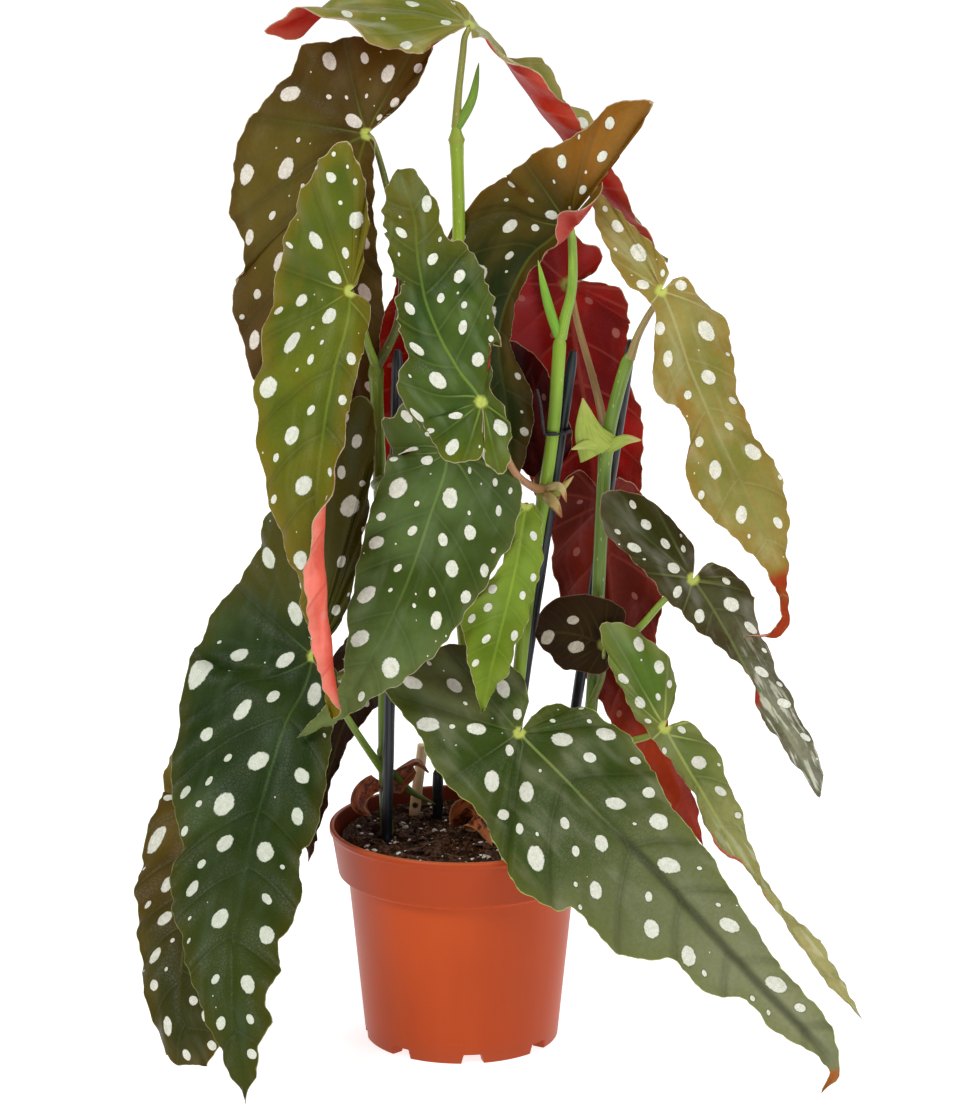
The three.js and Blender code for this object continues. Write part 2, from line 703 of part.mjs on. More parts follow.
// Places a flat leaf on its bent midrib. A flat point is (a, b): a along the midrib from the
// stalk to the tip, and b across it. Each row of the spine holds x, y, z, the turn about the
// midrib, and how far the left and right halves bend forward, in degrees.
class LeafForm {
  constructor(shape) {
    this.rows = shape.spine;
    this.bendWidth = shape.bendWidth ?? usualBendWidth;
    this.travel = [0];
    const count = (this.rows.length - 1) * spineSteps;
    for (let i = 1; i <= count; i += 1) {
      const here = this.centre(i / spineSteps);
      const before = this.centre((i - 1) / spineSteps);
      this.travel.push(this.travel[i - 1] + here.distanceTo(before));
    }
    this.behind = this.travel[shape.joinsAt * spineSteps];
    this.ahead = this.travel[count] - this.behind;
  }

  centre(t) {
    return new THREE.Vector3(...alongRows(this.rows, t).slice(0, 3));
  }

  rowAt(a) {
    const s = a + this.behind;
    if (s <= 0) return 0;
    const i = this.travel.findIndex((value) => value >= s);
    if (i < 0) return this.rows.length - 1;
    const start = this.travel[i - 1];
    return (i - 1 + (s - start) / (this.travel[i] - start)) / spineSteps;
  }

  place(a, b) {
    const t = this.rowAt(a);
    const values = alongRows(this.rows, t);
    const point = new THREE.Vector3(values[0], values[1], values[2]);
    const after = this.centre(Math.min(t + 0.02, this.rows.length - 1));
    const before = this.centre(Math.max(t - 0.02, 0));
    const ahead = after.sub(before).normalize();
    const flatAcross = new THREE.Vector3().crossVectors(ahead, new THREE.Vector3(0, 1, 0)).normalize();
    const flatFront = new THREE.Vector3().crossVectors(ahead, flatAcross);
    const turn = THREE.MathUtils.degToRad(values[3]);
    const across = flatAcross.clone().applyAxisAngle(ahead, turn);
    const front = flatFront.clone().applyAxisAngle(ahead, turn);
    const past = Math.min(a + this.behind, 0) + Math.max(a - this.ahead, 0);
    point.addScaledVector(ahead, past);
    const bend = THREE.MathUtils.degToRad(b < 0 ? values[4] : values[5]);
    const width = Math.abs(b);
    const curved = Math.min(width, this.bendWidth);
    const rate = bend / this.bendWidth;
    const straight = width - curved;
    const isFlat = Math.abs(rate) < 1e-6;
    const out = (isFlat ? curved : Math.sin(rate * curved) / rate) + straight * Math.cos(bend);
    const lift = (isFlat ? 0 : (1 - Math.cos(rate * curved)) / rate) + straight * Math.sin(bend);
    return point.addScaledVector(across, out * Math.sign(b)).addScaledVector(front, lift);
  }
}

// The ends of the main veins of one half of a blade, from the notch at the stalk to the tip.
// Veins of the rear lobe all start at the stalk, and the others start along the midrib.
function veinEnds(points, ahead, lobeVeins, sideVeins) {
  const outline = [];
  const rows = [...points, [ahead, 0]];
  const count = (rows.length - 1) * outlineSteps;
  for (let i = 0; i <= count; i += 1) {
    const [a, b] = alongRows(rows, i / outlineSteps);
    const last = outline[i - 1];
    const travel = last ? last.travel + Math.hypot(a - last.a, b - last.b) : 0;
    outline.push({ a, b, travel, reach: a - veinSweep * Math.abs(b) });
  }
  let lobeEnd = 0;
  outline.forEach((point, i) => {
    if (point.reach < 0) lobeEnd = i;
  });
  const ends = [];
  for (let i = 0; i <= lobeVeins; i += 1) {
    const travel = (outline[lobeEnd].travel * i) / lobeVeins;
    const end = outline.find((point) => point.travel >= travel - 1e-6);
    ends.push({ start: 0, a: end.a, b: end.b, travel: end.travel });
  }
  let place = lobeEnd;
  for (let i = 1; i <= sideVeins; i += 1) {
    const start = (ahead * i) / sideVeins;
    while (place < count && outline[place].reach < start) place += 1;
    if (i === sideVeins) place = count;
    ends.push({ start: i, a: outline[place].a, b: outline[place].b, travel: outline[place].travel });
  }
  return ends;
}

// A closed blade: both faces carry the same triangles, and a wall joins them at the margin
function blade(shape, form, lobeVeins, sideVeins, columns) {
  const flat = [];
  for (let i = 0; i <= sideVeins; i += 1) flat.push({ a: (form.ahead * i) / sideVeins, b: 0, wave: 0 });
  const triangles = [];
  for (const side of ['left', 'right']) {
    const veins = side === shape.bigLobe || shape.bigLobe === 'both' ? lobeVeins : Math.ceil(lobeVeins / 2);
    const ends = veinEnds(shape[side], form.ahead, veins, sideVeins);
    const grid = ends.map((end, i) => {
      const start = flat[end.start];
      const row = [end.start];
      for (let c = 1; c <= columns; c += 1) {
        if (i === ends.length - 1) {
          row.push(end.start);
        } else {
          const t = c / columns;
          const wave = waveHeight * t * t * Math.sin((end.travel / waveLength) * Math.PI * 2);
          row.push(flat.push({ a: start.a + (end.a - start.a) * t, b: end.b * t, wave }) - 1);
        }
      }
      return row;
    });
    for (let i = 0; i < grid.length - 1; i += 1) {
      for (let c = 0; c < columns; c += 1) {
        const quad = [grid[i][c], grid[i][c + 1], grid[i + 1][c + 1], grid[i + 1][c]];
        const halves = [[quad[0], quad[1], quad[2]], [quad[0], quad[2], quad[3]]];
        for (const half of halves) {
          if (new Set(half).size === 3) triangles.push(side === 'left' ? half : [half[0], half[2], half[1]]);
        }
      }
    }
  }
  const middle = flat.map(({ a, b }) => form.place(a, b));
  const normals = middle.map(() => new THREE.Vector3());
  for (const [p, q, r] of triangles) {
    const facing = new THREE.Vector3().crossVectors(
      middle[q].clone().sub(middle[p]),
      middle[r].clone().sub(middle[p]),
    );
    for (const corner of [p, q, r]) normals[corner].add(facing);
  }
  const positions = [];
  for (const offset of [bladeThickness / 2, -bladeThickness / 2]) {
    middle.forEach((point, i) => {
      const shifted = point.clone().addScaledVector(normals[i].clone().normalize(), flat[i].wave + offset);
      positions.push(shifted.x, shifted.y, shifted.z);
    });
  }
  const total = middle.length;
  const index = [];
  const edges = new Map();
  for (const [p, q, r] of triangles) {
    index.push(p, q, r, p + total, r + total, q + total);
    for (const [from, to] of [[p, q], [q, r], [r, p]]) {
      if (!edges.delete(`${to},${from}`)) edges.set(`${from},${to}`, [from, to]);
    }
  }
  for (const [from, to] of edges.values()) {
    index.push(to, from, from + total, to, from + total, to + total);
  }
  const geometry = new THREE.BufferGeometry();
  geometry.setAttribute('position', new THREE.Float32BufferAttribute(positions, 3));
  geometry.setIndex(index);
  return toSolid(geometry);
}

// A blade with its stalk, which ends a seat gap short of the cane it grows from
function leafSolid(shape, caneSeats) {
  const form = new LeafForm(shape);
  const { lobeVeins = 8, sideVeins = 10, columns = 2 } = shape;
  let solid = blade(shape, form, lobeVeins, sideVeins, columns);
  if (shape.stalk) {
    const end = form.place(0, 0).toArray();
    const path = [...shape.stalk, end];
    const stalk = rod(path, stalkRadius, stalkSides, path.length + 1);
    solid = solid.add(stalk);
  }
  for (const seat of caneSeats) solid = solid.subtract(seat);
  return mainBody(solid);
}

// A cane with its leaf scars and sheaths, swollen by an extra margin where room is cut for it
function caneSolid(name, extra) {
  let solid = rod(canePaths[name], caneRadius, rodSides, canePaths[name].length * 2, extra);
  for (const share of collarPlaces[name]) solid = solid.add(collar(canePaths[name], share, extra));
  for (const part of sheaths[name]) solid = solid.add(sheath(part, extra));
  return mainBody(solid);
}

function potSolid() {
  const bodySlope = (bodyTopRadius - footRadius) / (potHeight - rimBandHeight);
  const bandFoot = potHeight - rimBandHeight;
  const profile = [
    [0, 0], [padRadius, 0], [padRadius + 1, footRecess], [footRingInner - 1, footRecess], [footRingInner, 0],
    [footRadius, 0], [bodyTopRadius, bandFoot - 2], [rimBandFootRadius, bandFoot],
    [rimRadius - 1, potHeight - 3], [rimRadius, potHeight - 2.4], [rimRadius, potHeight - 0.5],
    [rimRadius - 0.5, potHeight], [rimRadius - 2, potHeight], [rimRadius - 2.6, potHeight - 3],
    [rimBandFootRadius - potWall, bandFoot + 1], [bodyTopRadius - potWall, bandFoot - 3],
    [footRadius - potWall + bodySlope * floorTop, floorTop], [0, floorTop],
  ].map(([radius, height]) => new THREE.Vector2(radius, height));
  const shell = new THREE.LatheGeometry(profile, potSegments);
  shell.rotateX(Math.PI / 2);
  let solid = toSolid(shell);
  for (let i = 0; i < notchCount; i += 1) {
    const notch = new THREE.BoxGeometry(notchWidth, footRadius - footRingInner + 6, notchHeight + 2);
    notch.translate(0, -(footRadius + footRingInner) / 2, notchHeight / 2 - 1);
    notch.rotateZ(((i + 0.15) / notchCount) * Math.PI * 2);
    solid = solid.subtract(toSolid(notch));
  }
  return solid;
}

// Soil fills the pot to just under its rim, with a rough top and plain holes for what stands in it
function soilSolid(standing) {
  const bandFoot = potHeight - rimBandHeight;
  const bodySlope = (bodyTopRadius - footRadius) / bandFoot;
  const inside = (radius) => radius - potWall - seatGap;
  const profile = [
    [0, floorTop + seatGap],
    [inside(footRadius) + bodySlope * (floorTop + seatGap), floorTop + seatGap],
    [inside(bodyTopRadius), bandFoot - 3],
    [inside(rimBandFootRadius), bandFoot + 1],
    [inside(rimBandFootRadius) + 1.2, soilTop - 2],
    [inside(rimBandFootRadius) - 0.4, soilTop],
    ...soilRings.map((radius) => [radius, soilTop]),
    [0, soilTop],
  ].map(([radius, height]) => new THREE.Vector2(radius, height));
  const body = new THREE.LatheGeometry(profile, soilSegments);
  body.rotateX(Math.PI / 2);
  const place = body.attributes.position;
  for (let i = 0; i < place.count; i += 1) {
    if (place.getZ(i) > soilTop - 0.1) {
      const [x, y] = [place.getX(i), place.getY(i)];
      const clods = Math.sin(x * 0.31 + 1.2) * Math.cos(y * 0.37) + Math.sin(x * 0.83 - y * 0.71);
      place.setZ(i, soilTop + clods * soilRoughness * 0.5);
    }
  }
  let solid = toSolid(body);
  for (const piece of standing) solid = solid.subtract(piece);
  return mainBody(solid);
}

// A stretched ring that binds the middle cane to its stake
function tieSolid() {
  const wire = 0.7;
  const ring = new THREE.TorusGeometry(caneRadius + seatGap + wire, wire, 5, 16);
  const cane = new THREE.Vector3(41, 2.1, 281);
  const stake = new THREE.Vector3(44.9, 8.5, 281);
  const half = cane.distanceTo(stake) / 2;
  const place = ring.attributes.position;
  for (let i = 0; i < place.count; i += 1) {
    const x = place.getX(i);
    if (Math.abs(x) > 1e-3) place.setX(i, x + Math.sign(x) * half);
  }
  ring.rotateZ(Math.atan2(stake.y - cane.y, stake.x - cane.x));
  ring.translate(...cane.clone().add(stake).multiplyScalar(0.5).toArray());
  return toSolid(ring);
}

const colours = {
  pot: '#c0502c',
  soil: '#2e211b',
  cane: '#7fb03a',
  topCane: '#7c9a3c',
  stake: '#10171a',
  tie: '#141414',
  stick: '#c9a06c',
  dryLeaf: '#9a5a28',
  drySheath: '#4d2018',
  leafDark: '#2f4524',
  leafGreen: '#4a6b2a',
  leafOlive: '#6f7a2b',
  leafBrown: '#4a3a1c',
  leafTan: '#8f8f55',
  leafLime: '#5f8f2c',
  leafRed: '#6e1410',
};

function piece(name, solid, colour, roughness) {
  const material = new THREE.MeshStandardMaterial({ color: colour, roughness, metalness: 0 });
  const mesh = new THREE.Mesh(toGeometry(solid), material);
  mesh.name = name;
  return mesh;
}

const plant = new THREE.Group();

const canes = Object.fromEntries(Object.keys(canePaths).map((name) => [name, caneSolid(name, 0)]));
const caneSeats = Object.keys(canePaths).map((name) => caneSolid(name, seatGap));
const stakes = Object.fromEntries(
  Object.entries(stakePaths).map(([name, path]) => [name, rod(path, stakeRadius, rodSides, 1)]),
);
const stick = rod(stickPath, stickRadius, rodSides, 4);
const holes = [
  ...caneSeats,
  ...Object.values(stakePaths).map((path) => rod(path, stakeRadius, rodSides, 1, seatGap)),
  rod(stickPath, stickRadius, rodSides, 4, seatGap),
];

plant.add(piece('pot', potSolid(), colours.pot, 0.45));
plant.add(piece('soil', soilSolid(holes), colours.soil, 0.95));
for (const [name, solid] of Object.entries(canes)) {
  plant.add(piece(name, solid, name === 'cane_top' ? colours.topCane : colours.cane, 0.5));
}
for (const [name, solid] of Object.entries(stakes)) plant.add(piece(name, solid, colours.stake, 0.4));
plant.add(piece('stake_tie', tieSolid(), colours.tie, 0.5));
plant.add(piece('wood_stick', stick, colours.stick, 0.8));
for (const [name, shape] of Object.entries(leafShapes)) {
  plant.add(piece(name, leafSolid(shape, caneSeats), colours[shape.colour], 0.4));
}
for (const [name, shape] of Object.entries(dryShapes)) {
  plant.add(piece(name, leafSolid(shape, caneSeats), colours[shape.colour], 0.9));
}

export default plant;
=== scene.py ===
import math

import bpy
import numpy as np
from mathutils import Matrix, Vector


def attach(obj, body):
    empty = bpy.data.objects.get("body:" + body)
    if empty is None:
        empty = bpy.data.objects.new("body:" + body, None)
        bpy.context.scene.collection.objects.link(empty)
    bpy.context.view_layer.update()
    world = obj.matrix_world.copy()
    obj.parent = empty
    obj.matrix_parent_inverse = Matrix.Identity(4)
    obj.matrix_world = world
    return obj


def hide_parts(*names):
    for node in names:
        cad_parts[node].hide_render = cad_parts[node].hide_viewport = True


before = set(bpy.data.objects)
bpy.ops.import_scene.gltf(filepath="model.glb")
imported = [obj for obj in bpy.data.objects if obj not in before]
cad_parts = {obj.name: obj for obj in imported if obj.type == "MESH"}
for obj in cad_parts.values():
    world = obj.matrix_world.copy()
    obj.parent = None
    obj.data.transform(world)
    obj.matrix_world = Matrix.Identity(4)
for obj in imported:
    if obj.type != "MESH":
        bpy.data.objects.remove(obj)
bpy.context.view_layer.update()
mm = 0.001
noDot = -500.0  # a place far off every blade, for faces with no dot near them


def tint(code):  # a paint-box colour as light values
    parts = [int(code[i:i + 2], 16) / 255 for i in (1, 3, 5)]
    return tuple(v / 12.92 if v <= 0.04045 else ((v + 0.055) / 1.055) ** 2.4 for v in parts) + (1.0,)


class Wire:
    # one output of a node, so that shader maths reads as plain sums
    def __init__(self, paint, socket):
        self.paint = paint
        self.socket = socket

    def maths(self, operation, *values):
        return self.paint.node("ShaderNodeMath", {"operation": operation}, dict(enumerate(values)))

    def __add__(self, other):
        return self.maths("ADD", self, other)

    def __radd__(self, other):
        return self.maths("ADD", other, self)

    def __sub__(self, other):
        return self.maths("SUBTRACT", self, other)

    def __rsub__(self, other):
        return self.maths("SUBTRACT", other, self)

    def __mul__(self, other):
        return self.maths("MULTIPLY", self, other)

    def __rmul__(self, other):
        return self.maths("MULTIPLY", other, self)

    def __truediv__(self, other):
        return self.maths("DIVIDE", self, other)

    def __pow__(self, other):
        return self.maths("POWER", self, other)

    def __abs__(self):
        return self.maths("ABSOLUTE", self)

    def floor(self):
        return self.maths("FLOOR", self)

    def over(self, level):
        return self.maths("GREATER_THAN", self, level)

    def most(self, other):
        return self.maths("MAXIMUM", self, other)

    def ease(self, start, end):  # 0 at start, 1 at end, smooth between them
        settings = {"interpolation_type": "SMOOTHSTEP"}
        return self.paint.node(
            "ShaderNodeMapRange", settings, {"Value": self, "From Min": start, "From Max": end})

    def parts(self):  # the three numbers of a vector
        return [self.paint.node("ShaderNodeSeparateXYZ", None, {0: self}, i) for i in range(3)]


class Paint:
    # one material, built node by node
    def __init__(self, name):
        self.material = bpy.data.materials.new(name)
        self.material.use_nodes = True
        self.tree = self.material.node_tree
        self.tree.nodes.clear()

    def node(self, kind, settings=None, inputs=None, output=0):
        made = self.tree.nodes.new(kind)
        for key, value in (settings or {}).items():
            setattr(made, key, value)
        for key, value in (inputs or {}).items():
            if isinstance(value, Wire):
                self.tree.links.new(value.socket, made.inputs[key])
            else:
                made.inputs[key].default_value = value
        return made if output is None else Wire(self, made.outputs[output])

    def stored(self, name):  # a value kept on the mesh
        return self.node("ShaderNodeAttribute", {"attribute_name": name}, None, "Vector")

    def place(self):
        return self.node("ShaderNodeTexCoord", None, None, "Object")

    def vector(self, x, y, z):
        return self.node("ShaderNodeCombineXYZ", None, {0: x, 1: y, 2: z})

    def scaled(self, where, factors):
        return self.node("ShaderNodeVectorMath", {"operation": "MULTIPLY"}, {0: where, 1: factors})

    def noise(self, where, scale, detail=2.0, rough=0.5, twist=0.0):
        sockets = {"Vector": where, "Scale": scale, "Detail": detail, "Roughness": rough, "Distortion": twist}
        return self.node("ShaderNodeTexNoise", None, sockets)

    def cells(self, where, scale, feature="F1"):
        sockets = {"Vector": where, "Scale": scale}
        return self.node("ShaderNodeTexVoronoi", {"feature": feature}, sockets, "Distance")

    def blend(self, factor, first, second, way="MIX"):  # a colour is a wire or a paint-box code
        settings = {"data_type": "RGBA", "blend_type": way}
        first, second = (tint(colour) if isinstance(colour, str) else colour for colour in (first, second))
        return self.node("ShaderNodeMix", settings, {0: factor, 6: first, 7: second}, 2)

    def bump(self, height, distance, strength):
        sockets = {"Height": height, "Distance": distance, "Strength": strength}
        return self.node("ShaderNodeBump", None, sockets)

    def surface(self, sockets):
        shader = self.node("ShaderNodeBsdfPrincipled", None, sockets)
        self.node("ShaderNodeOutputMaterial", None, {"Surface": shader}, None)
        return self.material


def curveThrough(points, count):  # evenly spaced points on a smooth line, and its directions
    given = np.array(points, float)
    padded = np.vstack([2 * given[0] - given[1], given, 2 * given[-1] - given[-2]])
    perSpan = 24
    line = []
    for i in range(len(given) - 1):
        p0, p1, p2, p3 = padded[i:i + 4]
        d0, d1, d2 = (max(np.linalg.norm(b - a), 1e-9) ** 0.5 for a, b in ((p0, p1), (p1, p2), (p2, p3)))
        leave = ((p1 - p0) / d0 - (p2 - p0) / (d0 + d1) + (p2 - p1) / d1) * d1
        reach = ((p2 - p1) / d1 - (p3 - p1) / (d1 + d2) + (p3 - p2) / d2) * d1
        f = np.linspace(0, 1, perSpan, endpoint=i == len(given) - 2)[:, None]
        line.append((2 * f ** 3 - 3 * f ** 2 + 1) * p1 + (f ** 3 - 2 * f ** 2 + f) * leave
                    + (3 * f ** 2 - 2 * f ** 3) * p2 + (f ** 3 - f ** 2) * reach)
    line = np.vstack(line)
    travel = np.concatenate([[0], np.cumsum(np.linalg.norm(np.diff(line, axis=0), axis=1))])
    wanted = np.linspace(0, travel[-1], count)
    even = np.stack([np.interp(wanted, travel, line[:, n]) for n in range(3)], axis=1)
    ahead = np.gradient(even, axis=0)
    return even, ahead / np.linalg.norm(ahead, axis=1)[:, None], wanted


def ringFaces(rings, sides):  # four-cornered faces between each ring of corners and the next
    faces = []
    for start in range(0, (rings - 1) * sides, sides):
        for k in range(sides):
            a, b = start + k, start + (k + 1) % sides
            faces.append((a, b, b + sides, a + sides))
    return faces


class Build:
    # gathers the corners and faces of one piece, with the numbers that its paint needs on them
    def __init__(self):
        self.corners = []
        self.faces = []
        self.slots = []
        self.stored = {}
        self.storedOnFaces = {}
        self.total = 0

    def add(self, corners, faces, slot=0, stored=None, onFaces=None):
        corners = np.asarray(corners, float).reshape(-1, 3)
        for key, values in (onFaces or {}).items():
            self.storedOnFaces.setdefault(key, []).append((len(self.faces), np.asarray(values, float)))
        base = self.total
        self.corners.append(corners)
        self.faces.extend(tuple(int(i) + base for i in face) for face in faces)
        self.slots.extend([slot] * len(faces))
        for key, values in (stored or {}).items():
            self.stored.setdefault(key, []).append((base, np.asarray(values, float)))
        self.total += len(corners)
        return base

    def tube(self, points, radii, sides, rings, slot, flat=1.0):
        centre, ahead, travel = curveThrough(points, rings)
        if len(radii) != rings:
            radii = np.interp(np.linspace(0, 1, rings), np.linspace(0, 1, len(radii)), radii)
        across = np.cross(ahead, (0, 1, 0) if abs(ahead[0][1]) < 0.9 else (1, 0, 0))
        across /= np.linalg.norm(across, axis=1)[:, None]
        depth = np.cross(across, ahead)
        angle = np.linspace(0, 2 * np.pi, sides, endpoint=False)
        ring = (centre[:, None] + across[:, None] * (np.cos(angle)[None, :] * radii[:, None])[..., None]
                + depth[:, None] * (np.sin(angle)[None, :] * (radii * flat)[:, None])[..., None])
        faces = ringFaces(rings, sides)
        faces.append(tuple(range(sides))[::-1])
        faces.append(tuple(range((rings - 1) * sides, rings * sides)))
        places = (np.repeat(travel, sides), np.tile(angle, rings), np.repeat(travel / travel[-1], sides))
        self.add(ring, faces, slot, {"along": np.stack(places, axis=1)})

    def lathe(self, profile, sides, slot, lift=None):
        profile = np.array(profile, float)
        angle = np.linspace(0, 2 * np.pi, sides, endpoint=False)
        corners = np.stack([
            profile[:, 0, None] * np.sin(angle)[None, :],
            -profile[:, 0, None] * np.cos(angle)[None, :],
            np.repeat(profile[:, 1, None], sides, axis=1)], axis=2)
        if lift is not None:
            corners[..., 2] = lift(profile[:, 0, None], corners[..., 2], angle[None, :])
        self.add(corners, ringFaces(len(profile), sides), slot)

    def piece(self, name, materials, node, sharp):
        mesh = bpy.data.meshes.new(name)
        corners = np.vstack(self.corners) * mm
        mesh.from_pydata(corners.tolist(), [], self.faces)
        onPoints = (self.stored, "POINT", len(corners), 0.0)
        onFaces = (self.storedOnFaces, "FACE", len(self.faces), noDot)
        for layers, domain, count, empty in (onPoints, onFaces):
            for key, blocks in layers.items():
                values = np.full((count, 3), empty)
                for base, block in blocks:
                    values[base:base + len(block)] = block
                layer = mesh.attributes.new(key, "FLOAT_VECTOR", domain)
                layer.data.foreach_set("vector", values.ravel())
        for material in materials:
            mesh.materials.append(material)
        mesh.polygons.foreach_set("material_index", self.slots)
        mesh.polygons.foreach_set("use_smooth", [True] * len(self.faces))
        mesh.update()
        mesh.validate()
        mesh.set_sharp_from_angle(angle=math.radians(sharp))
        made = bpy.data.objects.new(name, mesh)
        bpy.context.scene.collection.objects.link(made)
        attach(made, "root")
        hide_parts(node)
        return made


def alongRows(rows, t):  # smooth values between the rows of a list, at places t counted in rows
    rows = np.asarray(rows, float)
    padded = np.vstack([2 * rows[0] - rows[1], rows, 2 * rows[-1] - rows[-2]])
    i = np.clip(np.floor(t).astype(int), 0, len(rows) - 2)
    f = (np.clip(t, 0, len(rows) - 1) - i)[:, None]
    p0, p1, p2, p3 = padded[i], padded[i + 1], padded[i + 2], padded[i + 3]
    return ((2 * f ** 3 - 3 * f ** 2 + 1) * p1 + (f ** 3 - 2 * f ** 2 + f) * (p2 - p0) / 2
            + (3 * f ** 2 - 2 * f ** 3) * p2 + (f ** 3 - f ** 2) * (p3 - p1) / 2)


def unit(vectors):
    return vectors / np.maximum(np.linalg.norm(vectors, axis=-1, keepdims=True), 1e-9)


class BladeForm:
    # places flat points (a along the midrib from the stalk, b across it) on the bent blade
    def __init__(self, leaf):
        self.rows = np.array([[*row, *leaf["turned"]] for row in leaf["spine"]], float)
        self.bendWidth = leaf["bendWidth"]
        perRow = 16
        steps = np.arange((len(self.rows) - 1) * perRow + 1) / perRow
        line = alongRows(self.rows, steps)[:, :3]
        self.steps = steps
        self.travel = np.concatenate([[0], np.cumsum(np.linalg.norm(np.diff(line, axis=0), axis=1))])
        self.behind = self.travel[leaf["joinsAt"] * perRow]
        self.ahead = self.travel[-1] - self.behind

    def place(self, a, b):
        a, b = np.asarray(a, float), np.asarray(b, float)
        t = np.interp(a + self.behind, self.travel, self.steps)
        values = alongRows(self.rows, t)
        last = len(self.rows) - 1
        ahead = unit(alongRows(self.rows, np.minimum(t + 0.02, last))[:, :3]
                     - alongRows(self.rows, np.maximum(t - 0.02, 0))[:, :3])
        flatAcross = unit(np.cross(ahead, (0, 1, 0)))
        flatFront = np.cross(ahead, flatAcross)
        turn = np.radians(values[:, 3])[:, None]
        across = flatAcross * np.cos(turn) + flatFront * np.sin(turn)
        front = flatFront * np.cos(turn) - flatAcross * np.sin(turn)
        past = np.minimum(a + self.behind, 0) + np.maximum(a - self.ahead, 0)
        bend = np.radians(np.where(b < 0, values[:, 4], values[:, 5]))
        width = np.abs(b)
        curved = np.minimum(width, self.bendWidth)
        rate = np.where(np.abs(bend) < 1e-5, 1e-6, bend / self.bendWidth)
        out = np.sin(rate * curved) / rate + (width - curved) * np.cos(bend)
        lift = (1 - np.cos(rate * curved)) / rate + (width - curved) * np.sin(bend)
        return (values[:, :3] + ahead * past[:, None] + across * (out * np.sign(b))[:, None]
                + front * lift[:, None])


def marginOf(points, ahead, tooth, seed):  # a fine margin line from the notch at the stalk to the tip
    rows = [*points, [ahead, 0]]
    perRow = 24
    line = alongRows(rows, np.arange((len(rows) - 1) * perRow + 1) / perRow)
    travel = np.concatenate([[0], np.cumsum(np.linalg.norm(np.diff(line, axis=0), axis=1))])
    out = unit(np.stack([np.gradient(line[:, 1]), -np.gradient(line[:, 0])], axis=1))
    out *= np.sign(np.sum(out * (line - line.mean(axis=0)), axis=1))[:, None]
    swing = 1 + 0.5 * np.sin(travel / 41 + seed)
    bite = (np.sin(travel / 9.1 * 2 * np.pi + seed + 1.5 * swing) * swing
            + 1.1 * np.sin(travel / 19 * 2 * np.pi + 3 * seed)
            + 0.35 * np.sin(travel / 4.9 * 2 * np.pi + 2 * seed))
    fade = np.clip(np.minimum(travel, travel[-1] - travel) / 12, 0, 1)
    line = line + out * (tooth * bite * fade)[:, None]
    return line, travel


plainDots = {  # for each size of dot the least and most half length, the gap around it and the tries
    "classes": [(3.4, 5.0, 9.4, 110), (2.0, 3.1, 6.4, 170), (0.9, 1.6, 4.8, 80), (0.3, 0.5, 3.6, 36)],
    "slim": (1.2, 1.7), "placed": [], "fromRim": 1.6, "fromRib": 7, "offRow": 0.27, "laneWide": 2.5,
}
# A leaf's own dictionary is in millimetres and degrees. Its spine is the midrib, from the end of the
# lobes to the tip: x, y, z, how far the blade is turned about it there, and how far its left and its
# right half bend. Where those three are the same all along, "turned" says them once. The stalk joins
# at row joinsAt. "left" and "right" are the outline from that place to the tip, as distances along the
# midrib and across it. The first two numbers of its bands, streaks and tip are distances along the
# midrib too, between which that colour comes in. A blush lies between its first two, along the rim,
# and is as wide as its third.
plainLeaf = {  # the form of a leaf whose own dictionary doesn't say otherwise
    "turned": (), "underside": False, "veins": (4, 6), "columns": 18, "rays": 110, "tooth": 0.34, "wave": 1.6,
    "ruffle": 0.55, "quilt": 0.9, "crinkle": 0.35, "rimThick": 0.22, "addedThick": 0.12, "thick": 1.75,
    "dots": {},
}
plainLook = {  # and its looks
    "patched": 0.5, "edged": 0.4, "sheened": 0.35, "veined": 0.8, "sideVeined": 1.0, "veinShaded": 0.2,
    "veinShade": "#141a08", "ribReach": 130, "ribShaded": 0.0, "spotted": 0.9, "dot": "#dfe0d2",
    "dotShade": "#c2c4b2", "rough": 0.4, "gloss": 0.13, "bands": [], "red": "#8c1a16",
    "redDeep": "#4a0b10", "redEdge": "#a8402c", "redVein": "#a5473a", "redSheen": "#9a3a34",
    "redSheened": 0.3, "redBands": [],
}


def sowDots(leaf, a, b, lane, run, wide, rim, aim):
    # dots between the veins, large ones first: place, half length, heading and slimness
    plan = {**plainDots, **leaf["dots"]}
    draw = np.random.default_rng(int(leaf["seed"] * 10))
    dots = list(plan["placed"])
    offRow = np.abs(lane - np.floor(lane) - 0.5)
    clear = (rim > plan["fromRim"]) & (run > plan["fromRib"]) & (wide > plan["laneWide"])
    choice = np.nonzero(clear & (offRow < plan["offRow"]))[0]
    # a dot lies along its vein, nearer to the midrib's line ahead of the stalk than in the lobes
    lie = aim * np.clip(0.5 + (np.abs(aim) - 1.3) / 1.6, 0.5, 1)
    for least, most, gap, tries in plan["classes"]:
        for i in draw.choice(choice, tries) if len(choice) else []:
            size = draw.uniform(least, most)
            slim = draw.uniform(*plan["slim"])
            room = min(0.42 * wide[i] + 0.3, rim[i] - 0.9)
            if size > room * 1.15:
                continue
            near = [other for other in dots
                    if math.hypot(a[i] - other[0], b[i] - other[1]) < size + other[2] * 0.85 + gap]
            if not near:
                dots.append((a[i], b[i], size, lie[i] + draw.normal() * 0.12, slim))
    return dots


